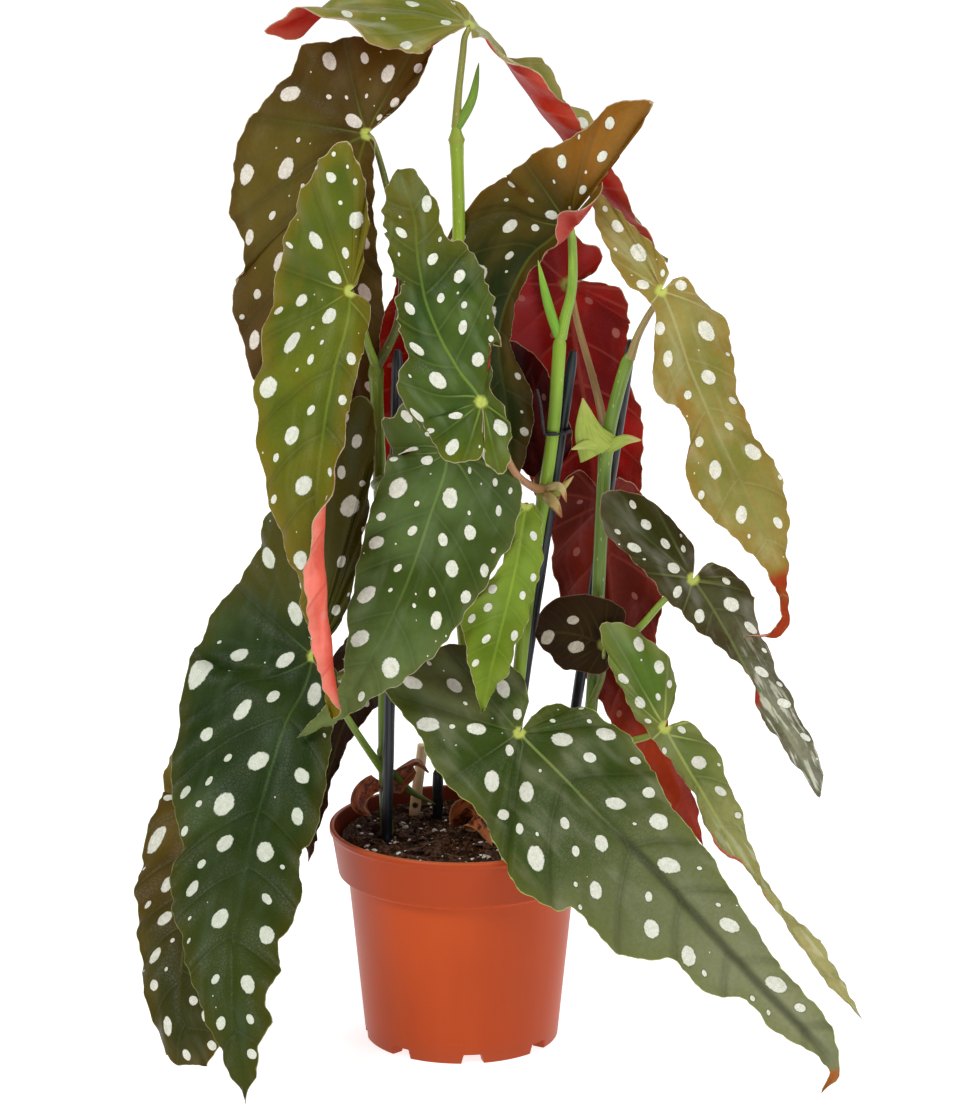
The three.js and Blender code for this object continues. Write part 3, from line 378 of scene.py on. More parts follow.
def nearestDots(dots, a, b, faces):
    # for each face the dot that is nearest to it, so that the paint can draw its exact oval
    dots = np.array(dots or [(noDot, 0.0, 0.1, 0.0, 1.0)])
    midA = np.array([np.mean(a[list(face)]) for face in faces])
    midB = np.array([np.mean(b[list(face)]) for face in faces])
    far = np.hypot(midA[:, None] - dots[:, 0], midB[:, None] - dots[:, 1]) - dots[:, 2]
    own = dots[np.argmin(far, axis=1)]
    aims = np.stack([np.cos(own[:, 3]), np.sin(own[:, 3]), own[:, 4]], axis=1)
    return {"dotPlace": own[:, :3], "dotAim": aims}


def growBlade(build, leaf, form):
    # both faces of the blade and the thin wall between them
    seed = leaf["seed"]
    ridge, side = leaf["veins"]
    columns = leaf["columns"]
    sideRays = leaf["rays"]
    lobeGap = 2.1  # how far apart the rays of a lobe reach its margin
    starts = np.arange(sideRays + 1) / sideRays
    a, b = [starts * form.ahead], [np.zeros(sideRays + 1)]
    lane, run, wide, rim, wave, aim = ([np.zeros(sideRays + 1)] for _ in range(6))
    lane[0] = ridge + starts * side
    wide[0] += 6
    rim[0] += 20
    total = sideRays + 1
    faces = []
    for name, way in (("left", 1), ("right", -1)):
        line, travel = marginOf(leaf[name], form.ahead, leaf["tooth"], seed + way)
        reach = line[:, 0] - 0.9 * np.abs(line[:, 1])
        behind = np.nonzero(reach < 0)[0]
        lobeEnd = behind[-1] if len(behind) else 0
        lobeTravel = travel[lobeEnd]
        lobeRays = max(1, int(lobeTravel / lobeGap))
        climb = np.maximum.accumulate(reach[lobeEnd:]) / form.ahead
        beyond = (travel[lobeEnd:] - lobeTravel) / max(travel[-1] - lobeTravel, 1e-6)
        climb = 0.85 * np.clip(climb, 0, 1) + 0.15 * beyond
        climb = (climb - climb[0]) / (climb[-1] - climb[0])
        atLobe = np.linspace(0, lobeTravel, lobeRays + 1)
        atSide = np.interp(starts[1:], climb, travel[lobeEnd:])
        at = np.concatenate([atLobe, atSide])
        start = np.concatenate([np.zeros(lobeRays + 1), starts[1:]])
        index = np.concatenate([np.zeros(lobeRays + 1, int), np.arange(1, sideRays + 1)])
        endA, endB = np.interp(at, travel, line[:, 0]), np.interp(at, travel, line[:, 1])
        lobeVeins = ridge if lobeTravel > 25 else max(1, ridge // 2)
        lobePhase = lobeVeins * atLobe / max(lobeTravel, 1e-6) + ridge - lobeVeins
        phase = np.concatenate([lobePhase, ridge + starts[1:] * side])
        t = (np.arange(1, columns + 1) / columns)[None, :]
        phase = phase + 0.14 * np.sin(2.3 * phase + seed * way)
        length = np.hypot(endA - start * form.ahead, endB)
        bow = 0.26 * length * np.clip(start * 6, 0, 1) * np.clip((1 - start) * 5, 0, 1)
        gone = endA - start * form.ahead
        rayA = start[:, None] * form.ahead + gone[:, None] * t - bow[:, None] * t * (1 - t)
        rayB = endB[:, None] * t
        heading = np.stack([gone, endB], axis=1) / np.maximum(length, 1e-6)[:, None]
        perStep = np.maximum(np.gradient(phase), 1e-3)[:, None]
        stepA, stepB = np.gradient(rayA, axis=0), np.gradient(rayB, axis=0)
        laneWide = np.abs(stepA * heading[:, 1, None] - stepB * heading[:, 0, None]) / perStep
        flat = np.stack([rayA.ravel(), rayB.ravel()], axis=1)
        outline = np.vstack([np.linspace((0, 0), line[0], 12)[2:], line[::4]])
        near = np.min(np.linalg.norm(flat[:, None] - outline[None], axis=2), axis=1).reshape(rayA.shape)
        near[:, -1] = 0
        rows = total + np.arange((len(at) - 1) * columns).reshape(-1, columns)
        total += rows.size
        rows = np.vstack([rows, np.full((1, columns), sideRays)])
        rows = np.hstack([index[:, None], rows])
        waved = leaf["wave"] * t * t * np.sin(at / 24 * 2 * np.pi)[:, None]
        ruffled = leaf["ruffle"] * t ** 4 * np.sin(at / 11 + 2 * np.sin(at / 23 + seed))[:, None]
        aimed = np.arctan2(heading[:, 1], heading[:, 0])[:, None] + 0 * t
        lanes, runs = phase[:, None] + 0 * t, length[:, None] * t
        for kept, values in ((a, rayA), (b, rayB), (wide, laneWide), (rim, near), (aim, aimed),
                             (lane, lanes), (run, runs), (wave, waved + ruffled)):
            kept.append(values[:-1].ravel())
        for i in range(len(at) - 1):
            for c in range(columns):
                quad = [rows[i][c], rows[i][c + 1], rows[i + 1][c + 1], rows[i + 1][c]]
                face = [q for n, q in enumerate(quad) if q not in quad[:n]]
                if len(face) > 2:
                    faces.append(face if way > 0 else face[::-1])
    a, b, lane, run, wide, rim, wave, aim = (
        np.concatenate(values) for values in (a, b, lane, run, wide, rim, wave, aim))
    middle = form.place(a, b)
    normals = np.zeros_like(middle)
    for face in faces:
        p, q, r = middle[face[0]], middle[face[1]], middle[face[2]]
        normal = np.cross(q - p, r - p)
        for corner in face:
            normals[corner] += normal
    normals = unit(normals)
    # the blade swells between its veins and dips along its midrib, towards its upper side
    up = -1 if leaf["underside"] else 1
    swell = (np.abs(np.sin(np.pi * lane)) ** 0.8
             * np.clip(wide / 12, 0, 1) * np.clip(rim / 5, 0, 1) * np.clip(run / 10, 0, 1))
    dip = np.exp(-(b / 2.2) ** 2) * np.clip(a / 8, 0, 1) * np.clip((form.ahead - a) / 25, 0, 1)
    roll = np.sin(a * 0.13 + seed) * np.cos(b * 0.17 + 2 * seed) + 0.6 * np.sin(a * 0.29 - b * 0.23 + seed)
    roll = roll * np.clip(np.hypot(a, b) / 20, 0, 1)
    height = wave + up * (leaf["quilt"] * swell - 0.7 * dip) + leaf["crinkle"] * roll
    thick = leaf["rimThick"] + leaf["addedThick"] * np.clip(rim / 6, 0, 1)
    stored = {"laneMap": np.stack([lane, run, wide], axis=1), "flatMap": np.stack([a, b, rim], axis=1)}
    front = middle + normals * (height + thick)[:, None]
    back = middle + normals * (height - thick)[:, None]
    nearest = nearestDots(sowDots(leaf, a, b, lane, run, wide, rim, aim), a, b, faces)
    base = build.add(front, faces, 1 if up < 0 else 0, stored, nearest)
    other = build.add(back, [face[::-1] for face in faces], 0 if up < 0 else 1, stored, nearest)
    edges = {}
    for face in faces:
        for i, corner in enumerate(face):
            pair = (face[(i + 1) % len(face)], corner)
            if pair in edges:
                del edges[pair]
            else:
                edges[(corner, face[(i + 1) % len(face)])] = True
    for start, end in edges:
        wall = (int(end) + base, int(start) + base, int(start) + other, int(end) + other)
        build.add([], [tuple(corner - build.total for corner in wall)], 2)


def inDot(paint, seed, grow=0.0, drop=0.0):
    # 1 inside the nearest dot of the blade, a slightly uneven oval
    a, b = paint.stored("flatMap").parts()[:2]
    midA, midB, size = paint.stored("dotPlace").parts()
    alongA, alongB, slim = paint.stored("dotAim").parts()
    da, db = a - midA, b - midB
    ahead = da * alongA + db * alongB
    across = db * alongA - da * alongB
    where = paint.vector(a, b, seed * 1.9)
    uneven = (paint.noise(where, 0.3, 2) - 0.5) * 0.3 + (paint.noise(where, 1.1, 2) - 0.5) * 0.24
    far = ((ahead ** 2 + (across * slim) ** 2) ** 0.5) / (size + grow).most(0.05) + uneven
    return far.ease(1.08, 0.92) * size.over(drop)


def topSide(leaf, name):
    # the upper side: green or bronze between paler veins, white dots, a pale spot at the stalk
    look = leaf["look"]
    seed = leaf["seed"]
    paint = Paint(name)
    lane, run, wide = paint.stored("laneMap").parts()
    a, b, rim = paint.stored("flatMap").parts()
    where = paint.vector(a, b, seed * 7.7)
    broad = paint.noise(where, 0.022, 2).ease(0.36, 0.64)
    patch = paint.noise(where, 0.045, 3, twist=0.6).ease(0.5, 0.72)
    mottle = paint.noise(where, 0.5, 4)
    fine = paint.noise(where, 2.2, 3)
    colour = paint.blend(broad, look["deep"], look["light"])
    colour = paint.blend(patch * look["patched"], colour, look["patch"])
    for start, finish, shade in look["bands"]:
        share = (a + (mottle - 0.5) * 14 * min(1, abs(finish - start) / 14)).ease(start, finish)
        colour = paint.blend(share * 0.92, colour, shade)
    outer = (rim + (mottle - 0.5) * 6).ease(9, 0.5)
    colour = paint.blend(outer * look["edged"], colour, look["edge"])
    # painted sheen: soft pale patches drawn out along the blade stand in for the lamps' highlights
    sheen = paint.noise(paint.vector(a * 0.035, b * 0.11, seed * 5.1), 1.0, 2, twist=0.3).ease(0.48, 0.74)
    colour = paint.blend(sheen * look["sheened"], colour, look["sheen"])
    # pale streaks are painted sheen; the tan leaf's brown streaks are its own colour
    if "streaks" in look:
        start, finish, shade, most = look["streaks"]
        streaks = paint.noise(paint.vector(a * 0.07, b * 0.5, seed * 2.3), 1.0, 3, twist=0.4).ease(0.52, 0.64)
        colour = paint.blend(streaks * a.ease(start, finish) * most, colour, shade)
    if "tip" in look:
        start, finish, shade = look["tip"]
        colour = paint.blend((a + (mottle - 0.5) * 3).ease(start, finish), colour, shade)
    veinGap = abs(lane - (lane + 0.5).floor()) * wide
    grain = (mottle - 0.5) * 0.5 + (fine - 0.5) * 0.3 + 1
    # painted shade: the blade is darkened in the grooves beside its veins
    veinShade = veinGap.ease(3.6, 0.4) * wide.ease(2, 8)
    colour = paint.blend(veinShade * look["veinShaded"], colour, look["veinShade"])
    # painted shade: a dark band beside the midrib where the blade folds
    ribFoldShade = abs(b).ease(3.4, 0.4) * a.ease(40, 90) * a.ease(215, 190)
    colour = paint.blend(ribFoldShade * look["ribShaded"], colour, look["veinShade"])
    line = veinGap.ease(0.62, 0.2) * run.ease(78, 18) * wide.ease(1.2, 4)
    rib = abs(b).ease(0.85, 0.3) * a.ease(-1, 3) * a.ease(look["ribReach"], 10)
    far = (a ** 2 + b ** 2) ** 0.5
    glow = far.ease(22, 3)
    sideVeins = line * (0.16 + glow * 0.6) * look["sideVeined"]
    veins = sideVeins.most(rib * 0.62) * look["veined"]
    colour = paint.blend(veins, colour, look["vein"])
    spot = (far + (mottle - 0.5) * 2).ease(3.6, 1.7)
    colour = paint.blend(spot * look["spotted"], colour, "#b3be58")
    nets = paint.cells(where, 0.55, "DISTANCE_TO_EDGE").ease(0.0, 0.1)
    grey = paint.blend(grain * 0.55, "#2b2b2b", "#ffffff")
    colour = paint.blend(0.5, colour, grey, "SOFT_LIGHT")
    dots = inDot(paint, seed)
    halo = inDot(paint, seed, 0.55, 0.9)
    colour = paint.blend(halo * 0.4, colour, look["deep"])
    chalk = (mottle * 0.4 + fine * 0.6).ease(0.36, 0.64)
    white = paint.blend(chalk, look["dot"], look["dotShade"])
    marks = dots * rim.ease(0.3, 0.9)
    colour = paint.blend(marks, colour, white)
    if "blush" in look:
        start, finish, reach, shade = look["blush"]
        atRim = rim.ease(reach, reach * 0.6) * b.ease(0, -1)
        blush = atRim * a.ease(start, start + 6) * a.ease(finish, finish - 6)
        colour = paint.blend(blush, colour, shade)
    colour = paint.blend(rim.ease(0.45, 0.2) * 0.75, colour, look.get("rim", "#b7a685"))
    height = (1 - veinGap.ease(1.4, 0.0) * 0.9) + nets * 0.4 + fine * 0.4 + marks * 0.12
    return paint.surface({
        "Base Color": colour,
        "Roughness": look["rough"] + (fine - 0.5) * 0.16 + marks * 0.06,
        "Specular IOR Level": look["gloss"],
        "Normal": paint.bump(height, 0.00028, 0.55),
    })


def underSide(leaf, name):
    # the red underside, with raised veins and a faint paler net
    look = leaf["look"]
    seed = leaf["seed"]
    paint = Paint(name)
    lane, run, wide = paint.stored("laneMap").parts()
    a, b, rim = paint.stored("flatMap").parts()
    where = paint.vector(a, b, seed * 3.3)
    broad = paint.noise(where, 0.024, 2, twist=0.4).ease(0.34, 0.66)
    mottle = paint.noise(where, 0.42, 4)
    fine = paint.noise(where, 2.0, 3)
    colour = paint.blend(broad, look["redDeep"], look["red"])
    colour = paint.blend(rim.ease(7, 0.5) * 0.35, colour, look["redEdge"])
    for start, finish, shade in look["redBands"]:
        colour = paint.blend((a + (mottle - 0.5) * 14).ease(start, finish), colour, shade)
    # painted sheen on the red underside
    sheen = paint.noise(paint.vector(a * 0.03, b * 0.1, seed * 4.1), 1.0, 3, twist=0.5).ease(0.48, 0.72)
    colour = paint.blend(sheen * look["redSheened"], colour, look["redSheen"])
    veinGap = abs(lane - (lane + 0.5).floor()) * wide
    line = veinGap.ease(1.0, 0.3) * run.ease(90, 10) * wide.ease(1.2, 5)
    rib = abs(b).ease(1.4, 0.5) * a.ease(-1, 3) * a.ease(150, 20)
    far = (a ** 2 + b ** 2) ** 0.5
    colour = paint.blend((line * 0.45).most(rib * 0.6), colour, look["redVein"])
    colour = paint.blend((far + (mottle - 0.5) * 3).ease(5, 2), colour, "#9aa04a")
    grain = (mottle - 0.5) * 0.7 + 1
    grey = paint.blend(grain * 0.5, "#2b2b2b", "#ffffff")
    colour = paint.blend(0.5, colour, grey, "SOFT_LIGHT")
    nets = paint.cells(where, 0.5, "DISTANCE_TO_EDGE").ease(0.12, 0.0)
    colour = paint.blend(nets * 0.06, colour, look["redVein"])
    # painted light: the folded-back left flap is painted a brighter red where it faces the lamps
    if "litFlap" in look:
        onLitFlap = (b * -1 + (mottle - 0.5) * 4).ease(13, 19) * a.ease(62, 40)
        colour = paint.blend(onLitFlap, colour, look["litFlap"])
    colour = paint.blend(inDot(paint, seed, -2.3, 3.7) * 0.4, colour, "#c98a7c")
    colour = paint.blend(rim.ease(0.5, 0.2), colour, "#b98a6a")
    height = veinGap.ease(1.3, 0.0) + nets * 0.3 + fine * 0.3
    return paint.surface({
        "Base Color": colour,
        "Roughness": 0.42 + (fine - 0.5) * 0.14,
        "Specular IOR Level": 0.12,
        "Normal": paint.bump(height, 0.0003, 0.5),
    })


def thinEdge(leaf, name):
    paint = Paint(name)
    shade = paint.noise(paint.place(), 160, 2)
    colour = paint.blend(shade.ease(0.35, 0.65), leaf["look"].get("rim", "#b9a184"), "#8f6f52")
    return paint.surface({"Base Color": colour, "Roughness": 0.5, "Normal": paint.bump(shade, 0.0001, 0.4)})


def stalkSkin(leaf, name):
    # a smooth leaf stalk: fine streaks along it and a blush where it meets the blade
    light, dark = leaf["stalkLook"]
    paint = Paint(name)
    along, turn, share = paint.stored("along").parts()
    streak = paint.noise(paint.vector(turn * 3, along * 0.03, leaf["seed"]), 2.2, 3)
    speck = paint.noise(paint.place(), 900, 2).ease(0.62, 0.72)
    colour = paint.blend(streak.ease(0.35, 0.65), light, dark)
    colour = paint.blend(share.ease(0.8, 1.0) * 0.4, colour, "#a7b552")
    colour = paint.blend(speck * 0.3, colour, "#c9c98c")
    return paint.surface({
        "Base Color": colour,
        "Roughness": 0.42 + (streak - 0.5) * 0.2,
        "Normal": paint.bump(streak, 0.0002, 0.4),
    })


def growLeaf(leaf):
    leaf = {**plainLeaf, **leaf, "look": {**plainLook, **leaf["look"]}}
    name = leaf["name"]
    build = Build()
    form = BladeForm(leaf)
    growBlade(build, leaf, form)
    end, ahead, aside = form.place([0, 1, 0], [0, 0, 1])
    front = unit(np.cross(ahead - end, aside - end))
    path = [*leaf["stalk"], list(end + front * (1.3 if leaf["underside"] else -1.3))]
    thick = leaf["thick"]
    build.tube(path, [thick * share for share in (1.25, 1.05, 0.95, 0.9, 0.85, 0.7)], 14, 44, 3)
    materials = [topSide(leaf, name + "Top"), underSide(leaf, name + "Underside"),
                 thinEdge(leaf, name + "Edge"), stalkSkin(leaf, name + "Stalk")]
    build.piece(name, materials, leaf["node"], sharp=55)
    print("grown:", name, len(build.faces), "faces")


def caneSkin(cane, length):
    # smooth green skin with fine streaks, pale specks and ringed scars
    paint = Paint(cane["name"] + "Skin")
    along, turn = paint.stored("along").parts()[:2]
    streaks = paint.noise(paint.vector(turn * 2.5, along * 0.025, cane["seed"]), 2.0, 3)
    broad = paint.noise(paint.vector(along * 0.02, cane["seed"], 0.0), 1.0, 2)
    colour = paint.blend(broad.ease(0.35, 0.65), cane["colour"], cane["darker"])
    # darker towards the foot of the cane
    colour = paint.blend(along.ease(cane["lowerTintTo"], cane["lowerTintTo"] * 0.3) * 0.75, colour, cane["lowerTint"])
    colour = paint.blend(streaks.ease(0.45, 0.75) * 0.4, colour, cane["streak"])
    specks = paint.cells(paint.scaled(paint.place(), (1, 1, 0.35)), 420).ease(0.17, 0.08)
    colour = paint.blend(specks * 0.45, colour, "#cfd6a0")
    if "upper" in cane:
        colour = paint.blend(along.ease(*cane["upperReach"]), colour, cane["upper"])
    scar = along * 0
    for place in cane["scars"]:
        scar = scar.most(abs(along - length * place).ease(1.5, 0.5))
    colour = paint.blend(scar * 0.55, colour, cane["scarColour"])
    return paint.surface({
        "Base Color": colour,
        "Roughness": 0.36 + (streaks - 0.5) * 0.2 + scar * 0.2,
        "Specular IOR Level": 0.4,
        "Normal": paint.bump(streaks + specks * 0.5, 0.0003, 0.4),
    })


def budSkin(name, light, dark, tip):
    # buds, cut stubs and papery stipules, finely veined along their length
    paint = Paint(name)
    along, turn, share = paint.stored("along").parts()
    veins = paint.noise(paint.vector(turn * 4, along * 0.05, 2.0), 2.4, 3)
    patch = paint.noise(paint.vector(turn * 0.6, along * 0.12, 5.0), 2.0, 3)
    shade = paint.blend(veins.ease(0.4, 0.7), light, dark)
    shade = paint.blend((share + (patch - 0.5) * 0.8).ease(0.55, 1.0), shade, tip)
    return paint.surface({
        "Base Color": shade, "Roughness": 0.45 + (veins - 0.5) * 0.2, "Specular IOR Level": 0.35,
        "Normal": paint.bump(veins, 0.0003, 0.5)})


caneForm = {"rings": 150, "radius": 2.95, "ripple": 0.1, "scarHigh": 0.75, "scarWide": 1.5, "swell": 0.3}


def growCane(cane):
    build = Build()
    rings = caneForm["rings"]
    length = curveThrough(cane["points"], rings)[2][-1]
    share = np.linspace(0, 1, rings)
    radii = caneForm["radius"] + caneForm["ripple"] * np.sin(share * 9 + cane["seed"])
    for place in cane["scars"]:
        away = (share - place) * length
        scar = caneForm["scarHigh"] * np.exp(-(away / caneForm["scarWide"]) ** 2)
        radii = radii + scar + caneForm["swell"] * np.exp(-((away + 4) / 4) ** 2)
    radii[-3:] *= (0.92, 0.7, 0.3)
    build.tube(cane["points"], radii, 20, rings, 0)
    materials = [caneSkin(cane, length)]
    for number, bud in enumerate(cane["buds"], 1):
        s = np.linspace(0, 1, 24)
        if bud.get("fin"):
            width = bud["width"] * np.maximum(1.25 * (1 - s) ** 0.85, 0.05)
        else:
            width = bud["width"] * (0.72 + 0.9 * s - 1.55 * s ** 2)
        build.tube(bud["path"], width, 16, 24, number, flat=bud["flat"])
        materials.append(budSkin(f"{cane['name']}Bud{number}", *bud["tints"]))
    build.piece(cane["name"], materials, cane["node"], sharp=60)
    print("grown:", cane["name"])


leftCane = {
    "name": "leftCane", "node": "cane_left", "slot": "cane", "seed": 1.3,
    "points": [
        [-33, 8, 52], [-34, 8, 90], [-35, 9, 127], [-35, 10, 183], [-36, 9, 239], [-37, 8, 276],
        [-38, 6, 315]],
    "scars": [0.3, 0.52, 0.97],
    "buds": [{
        "path": [[-31, 10, 121], [-24, 18, 110], [-12, 28, 100]], "width": 2, "flat": 1,
        "tints": ("#5f7426", "#4c5f20", "#7a7a34")}],
    "colour": "#7c9a2c", "darker": "#5f8024", "lowerTint": "#4a6420", "lowerTintTo": 150, "streak": "#8fae3e",
    "scarColour": "#7a8038",
}
growCane(leftCane)

middleCane = {
    "name": "middleCane", "node": "cane_middle", "slot": "cane", "seed": 4.1,
    "points": [
        [16, 4, 52], [19, 4, 90], [23, 4, 138], [30, 4, 204], [37, 3, 252], [41, 2, 282], [44, 0, 326]],
    "scars": [0.36, 0.73],
    "buds": [
        {"path": [[43, 0, 325], [38, -2, 342], [34, -4, 360]], "width": 2.6, "flat": 0.6,
         "tints": ("#76a72c", "#5f9022", "#8ab53a")},
        {"path": [[37, 2, 250], [44, -3, 256], [50, -6, 263]], "width": 2.4, "flat": 0.8,
         "tints": ("#9aa646", "#a8ac5c", "#c8a468")},
        {"path": [[36, 2, 253], [41, -5, 251], [45, -6, 244]], "width": 3.4, "flat": 0.4,
         "tints": ("#c9b878", "#a88a48", "#8f4a1c")},
        {"path": [[38, 0, 256], [44, -5, 258], [47, -6, 251]], "width": 2.4, "flat": 0.35,
         "tints": ("#d2c48a", "#b29a5c", "#9a5a26")}],
    "colour": "#8cb02c", "darker": "#7a9e28", "lowerTint": "#5a7c24", "lowerTintTo": 150, "streak": "#98ba40",
    "scarColour": "#9aa648",
}
growCane(middleCane)

rightCane = {
    "name": "rightCane", "node": "cane_right", "slot": "cane", "seed": 7.7,
    "points": [
        [42, 7, 52], [48, 6, 89], [57, 5, 135], [61, 5, 194], [63, 5, 240], [65, 4, 275], [70, 2, 300],
        [75, 0, 318]],
    "scars": [0.5, 0.83],
    "buds": [
        {"path": [[62, 0, 273], [57, -3, 282], [54, -4, 298]], "width": 8.2, "flat": 0.16, "fin": True,
         "tints": ("#9cac42", "#86983a", "#a8b258")},
        {"path": [[64, 1, 274], [56, -4, 277], [49, -5, 275]], "width": 3.2, "flat": 0.3,
         "tints": ("#a3b24c", "#8a9a3c", "#b0b060")},
        {"path": [[65, 1, 274], [73, -3, 279], [80, -4, 279]], "width": 3.4, "flat": 0.5,
         "tints": ("#98aa44", "#8a9a3c", "#c0b070")}],
    "colour": "#7d9a30", "darker": "#5c7a28", "lowerTint": "#4a6422", "lowerTintTo": 230, "streak": "#93ac48",
    "scarColour": "#a3aa58",
}
growCane(rightCane)

topCane = {
    "name": "topCane", "node": "cane_top", "slot": "cane_brown", "seed": 2.9,
    "points": [
        [14, 22, 52], [12, 22, 93], [4, 22, 152], [-3, 22, 236], [-4, 18, 311], [-1, 14, 366], [-2, 7, 419]],
    "scars": [0.45, 0.98],
    "buds": [{
        "path": [[-2, 7, 416], [5, 5, 430], [8, 4, 446]], "width": 2.6, "flat": 0.6,
        "tints": ("#6f9028", "#5c7a24", "#5c7a24")}],
    "colour": "#93b028", "darker": "#84a026", "lowerTint": "#5a6a24", "lowerTintTo": 200, "streak": "#98ac3c",
    "scarColour": "#8a8a3c", "upper": "#82922e", "upperReach": (350, 372),
}
growCane(topCane)

pot = {
    "sides": 240, "notches": 8, "notchWide": 9, "notchHigh": 4.4, "notchTurned": 0.15,
    "footRadius": 41, "footFrom": 36.2, "footTo": 46,
    "round": 0.6, "colour": "#b3430a", "worn": "#a83d09", "band": "#9b3608", "inside": "#5c1e0c",
    "profile": [
        [0, 0], [10, 0], [11, 5], [37, 5], [37.6, 3], [38, 0], [44, 0], [44.45, 4.5], [44.6, 6], [48, 40],
        [51.6, 76], [56, 78], [56.2, 79], [59, 96.6], [60, 97.4], [60, 99.6], [59.4, 100], [58, 100],
        [57.4, 97], [54.4, 79], [50, 75], [47, 40], [43.1, 6.8], [0, 6.8]],
}


def rounded(profile, radius):  # a profile with its corners rounded off
    profile = np.array(profile, float)
    line = [profile[0]]
    for before, corner, after in zip(profile, profile[1:], profile[2:]):
        back, on = before - corner, after - corner
        cut = min(radius, 0.45 * np.linalg.norm(back), 0.45 * np.linalg.norm(on))
        start, end = corner + unit(back) * cut, corner + unit(on) * cut
        line += [(1 - f) ** 2 * start + 2 * f * (1 - f) * corner + f ** 2 * end for f in np.linspace(0, 1, 6)]
    return np.array([*line, profile[-1]])


def notchLift(radius, height, angle):
    turn = 2 * np.pi / pot["notches"]
    away = (angle - pot["notchTurned"] * turn + turn / 2) % turn - turn / 2
    inNotch = np.abs(np.sin(away) * pot["footRadius"]) < pot["notchWide"] / 2
    onFoot = (radius > pot["footFrom"]) & (radius < pot["footTo"])
    return np.where(inNotch & onFoot, np.maximum(height, pot["notchHigh"]), height)


def potSkin():
    paint = Paint("potPlastic")
    where = paint.place()
    x, y, z = where.parts()
    broad = paint.noise(where, 9, 3)
    flow = paint.noise(paint.scaled(where, (90, 90, 9)), 1.0, 3)
    grain = paint.noise(where, 1500, 3)
    scuff = paint.noise(paint.scaled(where, (60, 60, 420)), 1.0, 4, twist=0.5).ease(0.66, 0.78)
    colour = paint.blend(broad.ease(0.35, 0.65), pot["colour"], pot["worn"])
    colour = paint.blend(flow.ease(0.4, 0.7) * 0.22, colour, "#b54a12")
    colour = paint.blend(z.ease(0.0775, 0.0785) * 0.8, colour, pot["band"])
    colour = paint.blend(scuff * 0.14, colour, "#b8602f")
    radius = (x ** 2 + y ** 2) ** 0.5
    # painted shade: the inner wall of the rim is darkened
    insideShadeMask = (radius - 0.143 * (z - 0.079)).ease(0.0557, 0.0549) * z.ease(0.078, 0.0795)
    colour = paint.blend(insideShadeMask * 0.85, colour, pot["inside"])
    # painted highlight: a lighter line along the top of the lip
    colour = paint.blend(z.ease(0.0987, 0.0998) * 0.4, colour, "#c66a3c")
    # duller and darker towards the foot
    nearFoot = z.ease(0.012, 0.0) * broad
    colour = paint.blend(nearFoot * 0.35, colour, "#8a4a34")
    return paint.surface({
        "Base Color": colour,
        "Roughness": 0.4 + (broad - 0.5) * 0.12 + scuff * 0.12 + (grain - 0.5) * 0.06,
        "Specular IOR Level": 0.2,
        "Normal": paint.bump(grain * 0.5 + flow * 0.5, 0.00012, 0.35),
    })


def makePot():
    build = Build()
    build.lathe(rounded(pot["profile"], pot["round"]), pot["sides"], 0, notchLift)
    build.piece("nurseryPot", [potSkin()], "pot", sharp=40)
    print("made: pot")


makePot()


soil = {
    "top": 92, "radius": 54.2, "heap": 2.6, "heapFrom": 36, "heapWide": 16, "rings": 72, "sides": 230,
    "fibres": 46, "seed": 11,
    # of each kind of bit: how many, the least and most size, how much it is drawn out, its material
    "perlite": (170, 0.5, 1.7, 1.1, 1), "bark": (330, 0.6, 2.6, 2.0, 2),
}


def ball():  # a small round lump, as corners and faces
    t = (1 + 5 ** 0.5) / 2
    corners = [(-1, t, 0), (1, t, 0), (-1, -t, 0), (1, -t, 0), (0, -1, t), (0, 1, t),
               (0, -1, -t), (0, 1, -t), (t, 0, -1), (t, 0, 1), (-t, 0, -1), (-t, 0, 1)]
    faces = [(0, 11, 5), (0, 5, 1), (0, 1, 7), (0, 7, 10), (0, 10, 11), (1, 5, 9), (5, 11, 4), (11, 10, 2),
             (10, 7, 6), (7, 1, 8), (3, 9, 4), (3, 4, 2), (3, 2, 6), (3, 6, 8), (3, 8, 9), (4, 9, 5),
             (2, 4, 11), (6, 2, 10), (8, 6, 7), (9, 8, 1)]
    corners = [Vector(c).normalized() for c in corners]
    middle, finer = {}, []
    for face in faces:
        mids = []
        for p, q in ((0, 1), (1, 2), (2, 0)):
            pair = tuple(sorted((face[p], face[q])))
            if pair not in middle:
                middle[pair] = len(corners)
                corners.append((corners[pair[0]] + corners[pair[1]]).normalized())
            mids.append(middle[pair])
        p, q, r = mids
        finer += [(face[0], p, r), (face[1], q, p), (face[2], r, q), (p, q, r)]
    return np.array([list(c) for c in corners]), finer


def crumbHeight(x, y):
    high = 0.9 * np.sin(x * 0.31 + 1.2) * np.cos(y * 0.37) + 0.5 * np.sin(x * 0.83 - y * 0.71)
    for scale, size, shift in ((0.9, 0.55, 1), (1.7, 0.45, 2), (3.1, 0.3, 3)):
        along = np.sin(x * scale + shift * 2 + 1.3 * np.sin(y * scale * 0.8 + shift))
        across = np.sin(y * scale * 1.1 + shift * 3 + 1.2 * np.sin(x * scale * 0.7))
        high = high + size * along * across
    return high


def heapHeight(reach):  # how much higher the soil stands towards the wall
    return soil["heap"] * np.clip((reach - soil["heapFrom"]) / soil["heapWide"], 0, 1) ** 1.5


